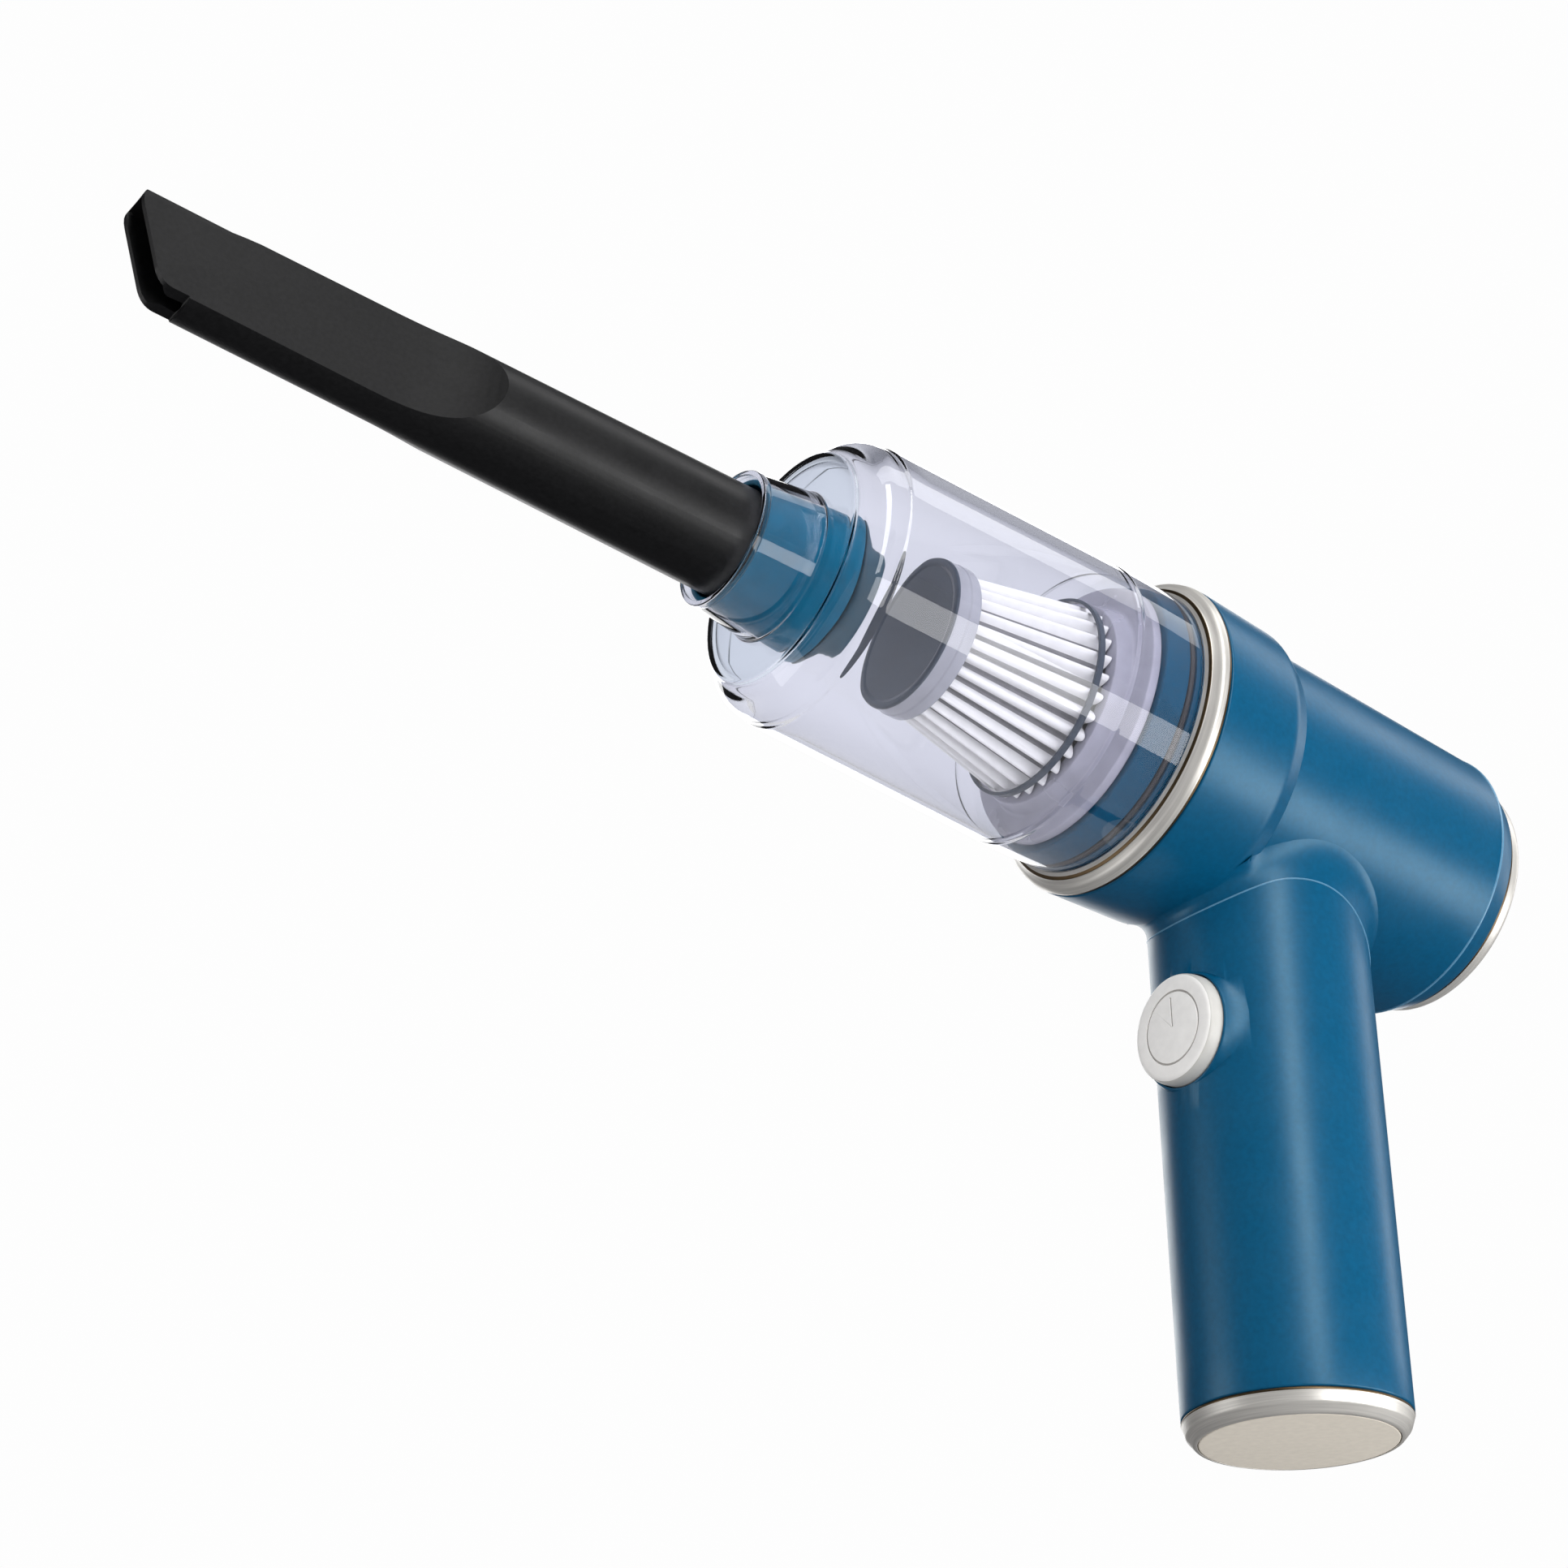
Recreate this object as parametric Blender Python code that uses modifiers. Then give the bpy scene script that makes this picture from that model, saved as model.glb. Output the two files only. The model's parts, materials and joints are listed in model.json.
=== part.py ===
"""Cordless hand vacuum with a pistol grip, built piece by piece.

Metres, +Z up. The origin is the centre of the flat disc under the grip. The grip stands along +Z.
The barrel crosses the top of the grip, points towards -X and rises by BARREL_PITCH. Pieces of the
barrel hang on the empty "barrel_axis", whose +Z runs forward along the barrel and whose +X points
up, so a turned piece of the barrel is drawn in distances forward of the grip's axis.
"""

from math import cos, pi, radians, sin

import bmesh
import bpy
from mathutils import Matrix, Vector

MM = 0.001
GAP = 0.3  # clearance between neighbouring pieces, in mm like every size below

# Layout
BARREL_HEIGHT = 139.9
BARREL_PITCH = radians(7.9)
ROUND_STEPS = 40
SMALL_STEPS = 24

# Grip
GRIP_RADIUS_LOW = 22.8
GRIP_RADIUS_HIGH = 23.0
GRIP_WALL = 2.2
GRIP_BOTTOM = 4.4
GRIP_TOP = 127.9

# Base ring and its disc
PLUG_BORE = 18.3
PLUG_RADIUS = 20.3
PLUG_TOP = 9.0
PLATE_TOP = 3.9
BASE_EDGE_RADIUS = 22.0
BASE_EDGE_HEIGHT = 1.9
BASE_RIM_RADIUS = 20.3
BASE_DISC_RADIUS = 19.6
BASE_DISC_THICKNESS = 1.6

# Barrel housings
REAR_RADIUS_FRONT = 32.0
REAR_RADIUS_BACK = 30.5
REAR_FRONT_END = 14.0
REAR_EDGE = -47.2
REAR_END = -52.4
REAR_END_RADIUS = 27.6
REAR_CORNER_RADIUS = 29.6
REAR_CORNER = -50.3
REAR_OPENING_RADIUS = 24.0
HOUSING_WALL = 2.3
LEAD_HOLE_RADIUS = 9.0
FRONT_START = 14.3
FRONT_RADIUS_BACK = 34.5
FRONT_RADIUS_FRONT = 35.4
FRONT_END = 36.0
FRONT_SHOULDER = 1.7
FRONT_LIP = 0.5
FRONT_BORE = 31.0
TRIM_START = 36.3
TRIM_EDGE = 38.8
TRIM_END = 40.0
TRIM_RADIUS_EDGE = 34.8
TRIM_RADIUS_FRONT = 33.1
REAR_TRIM_RADIUS = 27.3
REAR_TRIM_BORE = 22.9
REAR_TRIM_END = -56.5
SLOT_COUNT = 12
SLOT_MIDDLE = 13.0
SLOT_SIZE = (13.0, 2.4, 12.0)

# Dust cup and inlet
CUP_START = 40.3
CUP_RADIUS_BACK = 31.9
CUP_RADIUS_FRONT = 30.7
CUP_WALL = 1.75
CUP_STEP = 56.3
CUP_DISC = 124.3
CUP_DISC_RADIUS = 24.9
CUP_DISC_WALL = 1.9
CUP_SHOULDER = 110.0
COLLAR_END = 138.2
COLLAR_RADIUS = 14.6
COLLAR_FOOT_RADIUS = 16.4
TUBE_FRONT = 136.6
TUBE_BACK = 113.2
TUBE_RADIUS_FRONT = 13.3
TUBE_RADIUS_BACK = 15.4
TUBE_WALL_BACK = 1.4
TUBE_BORE = 12.1
TUBE_BORE_BACK = 126.0
GASKET_BACK = 110.8
GASKET_BORE = 13.6

# Spigot that the cup and the filter plug onto
SPIGOT_RADIUS = 29.85
SPIGOT_END = 49.6
SPIGOT_STEP = 36.0
SPIGOT_BACK = 24.0
SPIGOT_BORE = 27.6
SPIGOT_HOLE = 18.0
SPIGOT_PLATE = 2.2
GROOVE_BACK = 41.6
GROOVE_FRONT = 43.4
GROOVE_RADIUS = 28.5
SEAL_RADIUS = 29.3
SEAL_CORD_RADIUS = 0.65

# Filter
FLANGE_RADIUS = 28.6
FLANGE_STEP = 52.0
FLANGE_FRONT = 56.6
SLEEVE_BACK = 44.5
SLEEVE_BORE = 16.2
PLEAT_BACK = 57.0
PLEAT_FRONT = 90.0
PLEAT_RADIUS_BACK = 21.4
PLEAT_RADIUS_FRONT = 15.0
PLEAT_DEPTH_BACK = 2.4
PLEAT_DEPTH_FRONT = 1.6
PLEAT_COUNT = 30
PAPER = 0.9
BAND_BACK = 59.2
BAND_FRONT = 60.6
BAND_RADIUS = 22.1
BAND_BORE = 21.35
CAP_FRONT = 92.8
CAP_BACK = 86.9
CAP_RADIUS = 16.6
CAP_EDGE = 0.7
CAP_WALL = 1.9

# Crevice nozzle
NOZZLE_BACK = 116.0
NOZZLE_TIP = 269.0
NOZZLE_RADIUS_BACK = 11.7
NOZZLE_RADIUS_TIP = 10.1
NOZZLE_WALL = 1.5
FLAT_START = 194.0
FLAT_RUN_OUT = 26.0
FLAT_CURVE = 3.2
FLAT_HALF_WIDTH = 4.3
MOUTH_SLANT = 0.45
NOTCH_START = 254.6
NOTCH_STEP = 0.4
NOTCH_FLOOR = -8.9
DROOP_START = 140.0
DROOP_SLOPE = 0.0085

# Power button on the front of the grip
BUTTON_HEIGHT = 81.6
BUTTON_RADIUS = 11.6
BUTTON_FACE = -26.0
BUTTON_EDGE = 1.0
BUTTON_FLANGE = 1.0
BUTTON_FLANGE_FRONT = 15.6
BUTTON_FLANGE_BACK = 14.4
PLUNGER_RADIUS = 1.6
PLUNGER_FRONT = 14.1
PLUNGER_BACK = 11.9
SWITCH_SIZE = (3.0, 6.2, 6.2)
SWITCH_BOARD_SIZE = (1.0, 14.0, 14.0)

# Charging socket at the back of the grip
PORT_HEIGHT = 22.0
PORT_SIZE = (7.4, 9.0, 3.3)
PORT_SOCKET_SIZE = (7.0, 8.2, 2.5)
PORT_HOLE_SIZE = (10.0, 9.6, 3.9)

# Motor and fan
MOTOR_RADIUS = 15.0
MOTOR_WALL = 1.4
MOTOR_FRONT = 9.6
MOTOR_BACK = -28.0
MOTOR_CAP_END = -31.0
MOTOR_BORE = 3.4
SHAFT_RADIUS = 1.5
SHAFT_FRONT = 34.0
SHAFT_BACK = -33.5
BUSH_RADIUS = 3.1
RUNNING_CLEARANCE = 0.08
ROTOR_RADIUS = 12.8
ROTOR_FRONT = 3.0
ROTOR_BACK = -22.0
MOUNT_FRONT = 12.0
MOUNT_BACK = 10.0
MOUNT_BORE = 3.5
MOUNT_OPENINGS = 6
MOUNT_OPENING_RADIUS = 5.0
MOUNT_OPENING_PLACE = 22.0
SCREW_PLACE = 9.0
SCREW_HOLE_RADIUS = 1.7
FAN_RADIUS = 22.0
FAN_FRONT = 33.0
FAN_BACK = 24.0
FAN_DISC_FRONT = 25.4
FAN_BLADES = 8
BLADE_SIZE = (16.0, 1.2, 7.6)
SHROUD_RADIUS = 27.2
SHROUD_WALL = 1.4

# Battery
CELL_RADIUS = 9.1
CELL_LENGTH = 65.0
CELL_SPREAD = 9.4
CELL_BOTTOM = 12.0
CELL_CENTRE = 1.0
TERMINAL_RADIUS = 3.0
TRAY_SIZE = (17.0, 33.0, 2.0)
CONTROL_BOARD_SIZE = (1.2, 17.0, 58.0)
CONTROL_BOARD_CENTRE = (14.2, 0.0, 43.0)

# Colours
BLUE = (0.0, 0.115, 0.24)
CHAMPAGNE = (0.62, 0.57, 0.48)
CREAM = (0.72, 0.67, 0.58)
CLEAR = (0.85, 0.86, 0.92)
BLACK = (0.02, 0.02, 0.022)
SMOKE = (0.16, 0.16, 0.2)
WHITE = (0.85, 0.85, 0.84)
STEEL = (0.55, 0.56, 0.58)
BOARD_GREEN = (0.03, 0.2, 0.08)
CELL_GREEN = (0.1, 0.35, 0.3)
LEAD_RED = (0.5, 0.02, 0.02)
BRONZE = (0.5, 0.3, 0.12)


# ---------------------------------------------------------------- scene and helpers

def clear_scene():
    """Remove what the scene holds."""
    for obj in list(bpy.data.objects):
        bpy.data.objects.remove(obj, do_unlink=True)


def make_collection(name):
    """A collection linked to the scene."""
    collection = bpy.data.collections.new(name)
    bpy.context.scene.collection.children.link(collection)
    return collection


def make_material(name, colour, roughness, metallic):
    """A Principled BSDF material."""
    material = bpy.data.materials.new(name)
    material.use_nodes = True
    shader = material.node_tree.nodes["Principled BSDF"]
    shader.inputs["Base Color"].default_value = (*colour, 1.0)
    shader.inputs["Roughness"].default_value = roughness
    shader.inputs["Metallic"].default_value = metallic
    material.diffuse_color = (*colour, 1.0)
    return material


clear_scene()
PARTS = make_collection("hand_vacuum")
CUTTERS = make_collection("hand_vacuum_cutters")


def finish(obj, parent, finish_values=None):
    """Link an object as a part, or as a cutter when it has no finish."""
    obj.parent = parent
    if finish_values is None:
        CUTTERS.objects.link(obj)
        obj.hide_render = True
        obj.display_type = "WIRE"
        return obj
    PARTS.objects.link(obj)
    colour, roughness, metallic = finish_values
    obj.data.materials.append(make_material(obj.name, colour, roughness, metallic))
    obj.data.shade_smooth()
    obj.data.set_sharp_from_angle(angle=radians(35.0))
    return obj


def make_empty(name, location=(0.0, 0.0, 0.0), rotation=(0.0, 0.0, 0.0)):
    """An empty that other objects hang on; location in mm."""
    empty = bpy.data.objects.new(name, None)
    empty.location = Vector(location) * MM
    empty.rotation_euler = rotation
    PARTS.objects.link(empty)
    return empty


def turned(name, profile, parent, finish_values=None, closed=True, steps=ROUND_STEPS):
    """Turn (radius, height) points in mm about the local Z axis with a Screw modifier.

    The points run down the outer side, from the highest to the lowest. A closed profile makes a
    ring. An open one starts and ends on the axis and makes a solid.
    """
    mesh = bpy.data.meshes.new(name)
    points = [(radius * MM, 0.0, height * MM) for radius, height in profile]
    edges = [(index, index + 1) for index in range(len(points) - 1)]
    if closed:
        edges.append((len(points) - 1, 0))
    mesh.from_pydata(points, edges, [])
    obj = bpy.data.objects.new(name, mesh)
    screw = obj.modifiers.new("Turn", "SCREW")
    screw.axis = "Z"
    screw.angle = 2.0 * pi
    screw.steps = steps
    screw.render_steps = steps
    screw.use_merge_vertices = True
    screw.merge_threshold = 0.00001
    screw.use_smooth_shade = True
    finish(obj, parent, finish_values)
    return obj


def block(name, size, centre, parent=None, finish_values=None, bevel=0.0):
    """A box of the given size about a centre, all in mm, with optional rounded edges."""
    mesh = bpy.data.meshes.new(name)
    builder = bmesh.new()
    bmesh.ops.create_cube(builder, size=1.0, matrix=Matrix.Diagonal((*(Vector(size) * MM), 1.0)))
    builder.to_mesh(mesh)
    builder.free()
    obj = bpy.data.objects.new(name, mesh)
    obj.location = Vector(centre) * MM
    finish(obj, parent, finish_values)
    if bevel:
        rounding = obj.modifiers.new("Rounded edges", "BEVEL")
        rounding.width = bevel * MM
        rounding.segments = 2
    return obj


def cylinder(name, radius, length, centre, parent=None, finish_values=None, axis="Z", steps=SMALL_STEPS):
    """A cylinder along Z or X about a centre, in mm."""
    mesh = bpy.data.meshes.new(name)
    builder = bmesh.new()
    turn = Matrix.Rotation(pi / 2.0, 4, "Y") if axis == "X" else Matrix.Identity(4)
    bmesh.ops.create_cone(builder, cap_ends=True, segments=steps, radius1=radius * MM,
                          radius2=radius * MM, depth=length * MM, matrix=turn)
    builder.to_mesh(mesh)
    builder.free()
    obj = bpy.data.objects.new(name, mesh)
    obj.location = Vector(centre) * MM
    return finish(obj, parent, finish_values)


def combine(obj, tool, operation):
    """Add an exact Boolean with another object."""
    modifier = obj.modifiers.new(f"{operation.title()} {tool.name}", "BOOLEAN")
    modifier.operation = operation
    modifier.object = tool
    modifier.solver = "EXACT"


def lofted(name, rings, parent, finish_values):
    """Skin a closed chain of rings of equal point counts: out along the outside, back inside."""
    mesh = bpy.data.meshes.new(name)
    builder = bmesh.new()
    loops = [[builder.verts.new(point) for point in ring] for ring in rings]
    for first, second in zip(loops, loops[1:] + loops[:1]):
        count = len(first)
        for index in range(count):
            following = (index + 1) % count
            builder.faces.new((first[index], first[following], second[following], second[index]))
    bmesh.ops.recalc_face_normals(builder, faces=builder.faces)
    builder.to_mesh(mesh)
    builder.free()
    obj = bpy.data.objects.new(name, mesh)
    return finish(obj, parent, finish_values)


def wire(name, points, radius, parent, finish_values):
    """A round lead through points in mm."""
    curve = bpy.data.curves.new(name + "_path", "CURVE")
    curve.dimensions = "3D"
    curve.bevel_depth = radius * MM
    curve.bevel_resolution = 2
    curve.use_fill_caps = True
    spline = curve.splines.new("POLY")
    spline.points.add(len(points) - 1)
    for spline_point, point in zip(spline.points, points):
        spline_point.co = (*(Vector(point) * MM), 1.0)
    source = bpy.data.objects.new(name + "_path", curve)
    PARTS.objects.link(source)
    evaluated = source.evaluated_get(bpy.context.evaluated_depsgraph_get())
    mesh = bpy.data.meshes.new_from_object(evaluated)
    mesh.name = name
    bpy.data.objects.remove(source, do_unlink=True)
    builder = bmesh.new()
    builder.from_mesh(mesh)
    bmesh.ops.remove_doubles(builder, verts=builder.verts, dist=0.000001)
    builder.to_mesh(mesh)
    builder.free()
    obj = bpy.data.objects.new(name, mesh)
    return finish(obj, parent, finish_values)


# ---------------------------------------------------------------- grip

def build_base():
    """The metal ring that plugs into the grip and the flat disc set into it."""
    ring = [
        (0.0, PLATE_TOP),
        (PLUG_BORE, PLATE_TOP),
        (PLUG_BORE, PLUG_TOP),
        (PLUG_RADIUS, PLUG_TOP),
        (PLUG_RADIUS, GRIP_BOTTOM),
        (GRIP_RADIUS_LOW, GRIP_BOTTOM),
        (BASE_EDGE_RADIUS, BASE_EDGE_HEIGHT),
        (BASE_RIM_RADIUS, 0.0),
        (BASE_DISC_RADIUS + GAP, 0.0),
        (BASE_DISC_RADIUS + GAP, BASE_DISC_THICKNESS + GAP),
        (0.0, BASE_DISC_THICKNESS + GAP),
    ]
    turned("base_ring", ring, None, (CHAMPAGNE, 0.3, 0.9), closed=False)
    disc = [
        (0.0, BASE_DISC_THICKNESS),
        (BASE_DISC_RADIUS, BASE_DISC_THICKNESS),
        (BASE_DISC_RADIUS, 0.0),
        (0.0, 0.0),
    ]
    turned("base_disc", disc, None, (CREAM, 0.45, 0.0), closed=False)


def barrel_cutter(barrel):
    """The outside of both housings, grown by the gap, which trims the top of the grip."""
    outline = [
        (0.0, FRONT_END),
        (FRONT_RADIUS_FRONT + GAP, FRONT_END),
        (FRONT_RADIUS_BACK + GAP, FRONT_START - GAP),
        (REAR_RADIUS_FRONT + GAP, FRONT_START - GAP),
        (REAR_RADIUS_BACK + GAP, REAR_EDGE),
        (0.0, REAR_EDGE),
    ]
    return turned("barrel_outside", outline, barrel, closed=False)


def build_grip(barrel):
    """The grip tube, trimmed to the barrel, with holes for the button and the charging port."""
    profile = [
        (GRIP_RADIUS_HIGH, GRIP_TOP),
        (GRIP_RADIUS_LOW, GRIP_BOTTOM + GAP),
        (GRIP_RADIUS_LOW - GRIP_WALL, GRIP_BOTTOM + GAP),
        (GRIP_RADIUS_HIGH - GRIP_WALL, GRIP_TOP),
    ]
    grip = turned("handle_shell", profile, None, (BLUE, 0.4, 0.0))
    combine(grip, barrel_cutter(barrel), "DIFFERENCE")
    button_hole = cylinder("button_hole", BUTTON_RADIUS + GAP, 20.0, (-20.0, 0.0, BUTTON_HEIGHT),
                           axis="X", steps=ROUND_STEPS)
    combine(grip, button_hole, "DIFFERENCE")
    combine(grip, block("port_hole", PORT_HOLE_SIZE, (21.0, 0.0, PORT_HEIGHT)), "DIFFERENCE")


def build_port():
    """The charging socket at the back of the grip."""
    port = block("usb_port", PORT_SIZE, (18.9, 0.0, PORT_HEIGHT), None, (STEEL, 0.3, 1.0))
    combine(port, block("port_socket", PORT_SOCKET_SIZE, (20.3, 0.0, PORT_HEIGHT)), "DIFFERENCE")


def build_button():
    """The power button with its retaining flange, and the switch behind it."""
    axis = make_empty("button_axis", (0.0, 0.0, BUTTON_HEIGHT), (0.0, -pi / 2.0, 0.0))
    face = -BUTTON_FACE
    profile = [
        (0.0, face),
        (BUTTON_RADIUS - BUTTON_EDGE, face),
        (BUTTON_RADIUS, face - BUTTON_EDGE),
        (BUTTON_RADIUS, BUTTON_FLANGE_FRONT),
        (BUTTON_RADIUS + BUTTON_FLANGE, BUTTON_FLANGE_FRONT),
        (BUTTON_RADIUS + BUTTON_FLANGE, BUTTON_FLANGE_BACK),
        (0.0, BUTTON_FLANGE_BACK),
    ]
    turned("power_button", profile, axis, (WHITE, 0.35, 0.0), closed=False)
    plunger = [
        (0.0, PLUNGER_FRONT),
        (PLUNGER_RADIUS, PLUNGER_FRONT),
        (PLUNGER_RADIUS, PLUNGER_BACK),
        (0.0, PLUNGER_BACK),
    ]
    turned("switch_plunger", plunger, axis, (BLACK, 0.5, 0.0), closed=False, steps=SMALL_STEPS)
    switch = block("power_switch", SWITCH_SIZE, (-10.8, 0.0, BUTTON_HEIGHT), None, (BLACK, 0.5, 0.0))
    pocket = cylinder("plunger_pocket", PLUNGER_RADIUS + GAP, 6.0, (-12.9, 0.0, BUTTON_HEIGHT), axis="X")
    combine(switch, pocket, "DIFFERENCE")
    block("switch_board", SWITCH_BOARD_SIZE, (-8.5, 0.0, BUTTON_HEIGHT + 4.0), None, (BOARD_GREEN, 0.5, 0.0))


def build_battery():
    """Two round cells side by side between a lower and an upper tray."""
    middle = CELL_BOTTOM + CELL_LENGTH
    cell = [
        (0.0, middle),
        (TERMINAL_RADIUS, middle),
        (TERMINAL_RADIUS, middle - 0.8),
        (CELL_RADIUS, middle - 1.2),
        (CELL_RADIUS, CELL_BOTTOM),
        (0.0, CELL_BOTTOM),
    ]
    for number, side in ((1, -1.0), (2, 1.0)):
        place = make_empty(f"cell_place_{number}", (CELL_CENTRE, side * CELL_SPREAD, 0.0))
        turned(f"battery_cell_{number}", cell, place, (CELL_GREEN, 0.4, 0.0), closed=False,
               steps=SMALL_STEPS)
    for name, height in (("battery_tray_lower", CELL_BOTTOM - 1.3), ("battery_tray_upper", middle + 1.3)):
        block(name, TRAY_SIZE, (CELL_CENTRE, 0.0, height), None, (BLACK, 0.6, 0.0), bevel=0.8)
    block("control_board", CONTROL_BOARD_SIZE, CONTROL_BOARD_CENTRE, None, (BOARD_GREEN, 0.5, 0.0))


# ---------------------------------------------------------------- housings

def build_housings(barrel):
    """The rear and front housings, the trim rings and the exhaust grille."""
    rear = [
        (REAR_RADIUS_FRONT, REAR_FRONT_END),
        (REAR_RADIUS_BACK, REAR_EDGE),
        (REAR_CORNER_RADIUS, REAR_CORNER),
        (REAR_END_RADIUS, REAR_END),
        (REAR_OPENING_RADIUS, REAR_END),
        (REAR_OPENING_RADIUS, REAR_END + HOUSING_WALL),
        (REAR_RADIUS_BACK - HOUSING_WALL, REAR_EDGE + 1.0),
        (REAR_RADIUS_FRONT - HOUSING_WALL, REAR_FRONT_END),
    ]
    rear_housing = turned("rear_housing", rear, barrel, (BLUE, 0.4, 0.0))
    lead_hole = cylinder("lead_hole", LEAD_HOLE_RADIUS, 30.0, (10.0, 0.0, BARREL_HEIGHT - 30.0))
    combine(rear_housing, lead_hole, "DIFFERENCE")
    front = [
        (FRONT_RADIUS_FRONT, FRONT_END),
        (FRONT_RADIUS_BACK, FRONT_START + FRONT_SHOULDER),
        (FRONT_RADIUS_BACK - 0.7, FRONT_START + FRONT_LIP),
        (REAR_RADIUS_FRONT + 0.4, FRONT_START),
        (FRONT_BORE, FRONT_START),
        (FRONT_BORE, FRONT_END),
    ]
    turned("front_housing", front, barrel, (BLUE, 0.4, 0.0))
    trim = [
        (TRIM_RADIUS_FRONT, TRIM_END),
        (TRIM_RADIUS_EDGE, TRIM_EDGE),
        (FRONT_RADIUS_FRONT, TRIM_START),
        (FRONT_BORE, TRIM_START),
        (FRONT_BORE, TRIM_END),
    ]
    turned("trim_ring", trim, barrel, (CHAMPAGNE, 0.3, 0.9))
    rear_trim = [
        (REAR_TRIM_RADIUS, REAR_END - GAP),
        (REAR_TRIM_RADIUS - 0.4, REAR_TRIM_END + 1.9),
        (REAR_TRIM_BORE + 1.9, REAR_TRIM_END),
        (REAR_TRIM_BORE, REAR_TRIM_END),
        (REAR_TRIM_BORE, REAR_END - GAP),
    ]
    turned("rear_trim_ring", rear_trim, barrel, (CHAMPAGNE, 0.3, 0.9))
    build_grille(barrel)


def build_grille(barrel):
    """The exhaust grille: a disc with radial slots set in the rear opening."""
    radius = REAR_OPENING_RADIUS - GAP
    front = REAR_END + HOUSING_WALL
    disc = [(0.0, front), (radius, front), (radius, REAR_END), (0.0, REAR_END)]
    grille = turned("exhaust_grille", disc, barrel, (BLUE, 0.5, 0.0), closed=False)
    mesh = bpy.data.meshes.new("grille_slots")
    builder = bmesh.new()
    for index in range(SLOT_COUNT):
        turn = Matrix.Rotation(2.0 * pi * index / SLOT_COUNT, 4, "Z")
        place = Matrix.Translation(Vector((SLOT_MIDDLE, 0.0, REAR_END)) * MM)
        size = Matrix.Diagonal((*(Vector(SLOT_SIZE) * MM), 1.0))
        bmesh.ops.create_cube(builder, size=1.0, matrix=turn @ place @ size)
    builder.to_mesh(mesh)
    builder.free()
    slots = finish(bpy.data.objects.new("grille_slots", mesh), barrel)
    combine(grille, slots, "DIFFERENCE")


def build_spigot(barrel):
    """The spigot that carries the cup and the filter, with the cup's seal in its groove."""
    profile = [
        (SPIGOT_RADIUS, SPIGOT_END),
        (SPIGOT_RADIUS, GROOVE_FRONT),
        (GROOVE_RADIUS, GROOVE_FRONT),
        (GROOVE_RADIUS, GROOVE_BACK),
        (SPIGOT_RADIUS, GROOVE_BACK),
        (SPIGOT_RADIUS, SPIGOT_STEP),
        (FRONT_BORE - GAP, SPIGOT_STEP - 0.4),
        (FRONT_BORE - GAP, SPIGOT_BACK),
        (SPIGOT_BORE, SPIGOT_BACK),
        (SPIGOT_BORE, SPIGOT_END - SPIGOT_PLATE),
        (SPIGOT_HOLE, SPIGOT_END - SPIGOT_PLATE),
        (SPIGOT_HOLE, SPIGOT_END),
    ]
    turned("cup_spigot", profile, barrel, (BLUE, 0.4, 0.0))
    middle = 0.5 * (GROOVE_BACK + GROOVE_FRONT)
    mesh = bpy.data.meshes.new("cup_seal")
    builder = bmesh.new()
    circle = bmesh.ops.create_circle(builder, segments=8, radius=SEAL_CORD_RADIUS * MM)
    edges = builder.edges[:]
    for vertex in circle["verts"]:
        vertex.co = Vector((vertex.co.x + SEAL_RADIUS * MM, 0.0, vertex.co.y + middle * MM))
    bmesh.ops.spin(builder, geom=circle["verts"] + edges, cent=(0.0, 0.0, 0.0), axis=(0.0, 0.0, 1.0),
                   angle=2.0 * pi, steps=ROUND_STEPS, use_merge=True)
    bmesh.ops.recalc_face_normals(builder, faces=builder.faces)
    builder.to_mesh(mesh)
    builder.free()
    finish(bpy.data.objects.new("cup_seal", mesh), barrel, (BLACK, 0.6, 0.0))


# ---------------------------------------------------------------- dust cup

def build_cup(barrel):
    """The clear cup: cylinder, rounded shoulder, flat front and a collar round the inlet."""
    step_radius = CUP_RADIUS_BACK - CUP_WALL
    disc_inside = CUP_DISC - CUP_DISC_WALL
    profile = [
        (COLLAR_RADIUS, COLLAR_END),
        (COLLAR_FOOT_RADIUS, CUP_DISC + 0.5),
        (CUP_DISC_RADIUS, CUP_DISC),
        (28.0, 120.6),
        (29.9, 115.5),
        (CUP_RADIUS_FRONT, CUP_SHOULDER),
        (CUP_RADIUS_BACK, CUP_START),
        (step_radius, CUP_START),
        (step_radius, CUP_STEP),
        (step_radius - 0.7, CUP_STEP + 0.6),
        (CUP_RADIUS_FRONT - 2.2, CUP_SHOULDER),
        (27.6, 115.0),
        (26.2, 119.0),
        (CUP_DISC_RADIUS - 1.0, disc_inside),
        (tube_radius(disc_inside) + GAP, disc_inside),
        (tube_radius(COLLAR_END) + GAP, COLLAR_END),
    ]
    turned("dust_cup", profile, barrel, (CLEAR, 0.08, 0.0))
    tube = [
        (TUBE_RADIUS_FRONT, TUBE_FRONT),
        (TUBE_RADIUS_BACK, TUBE_BACK),
        (TUBE_RADIUS_BACK - TUBE_WALL_BACK, TUBE_BACK),
        (TUBE_BORE, TUBE_BORE_BACK),
        (TUBE_BORE, TUBE_FRONT),
    ]
    turned("inlet_tube", tube, barrel, (BLUE, 0.3, 0.0))
    gasket = [
        (TUBE_RADIUS_BACK + 0.3, TUBE_BACK - GAP),
        (TUBE_RADIUS_BACK + 0.4, TUBE_BACK - 1.5),
        (TUBE_RADIUS_BACK - 0.3, GASKET_BACK),
        (GASKET_BORE, GASKET_BACK),
        (GASKET_BORE, TUBE_BACK - GAP),
    ]
    turned("inlet_gasket", gasket, barrel, (BLACK, 0.6, 0.0))


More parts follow.
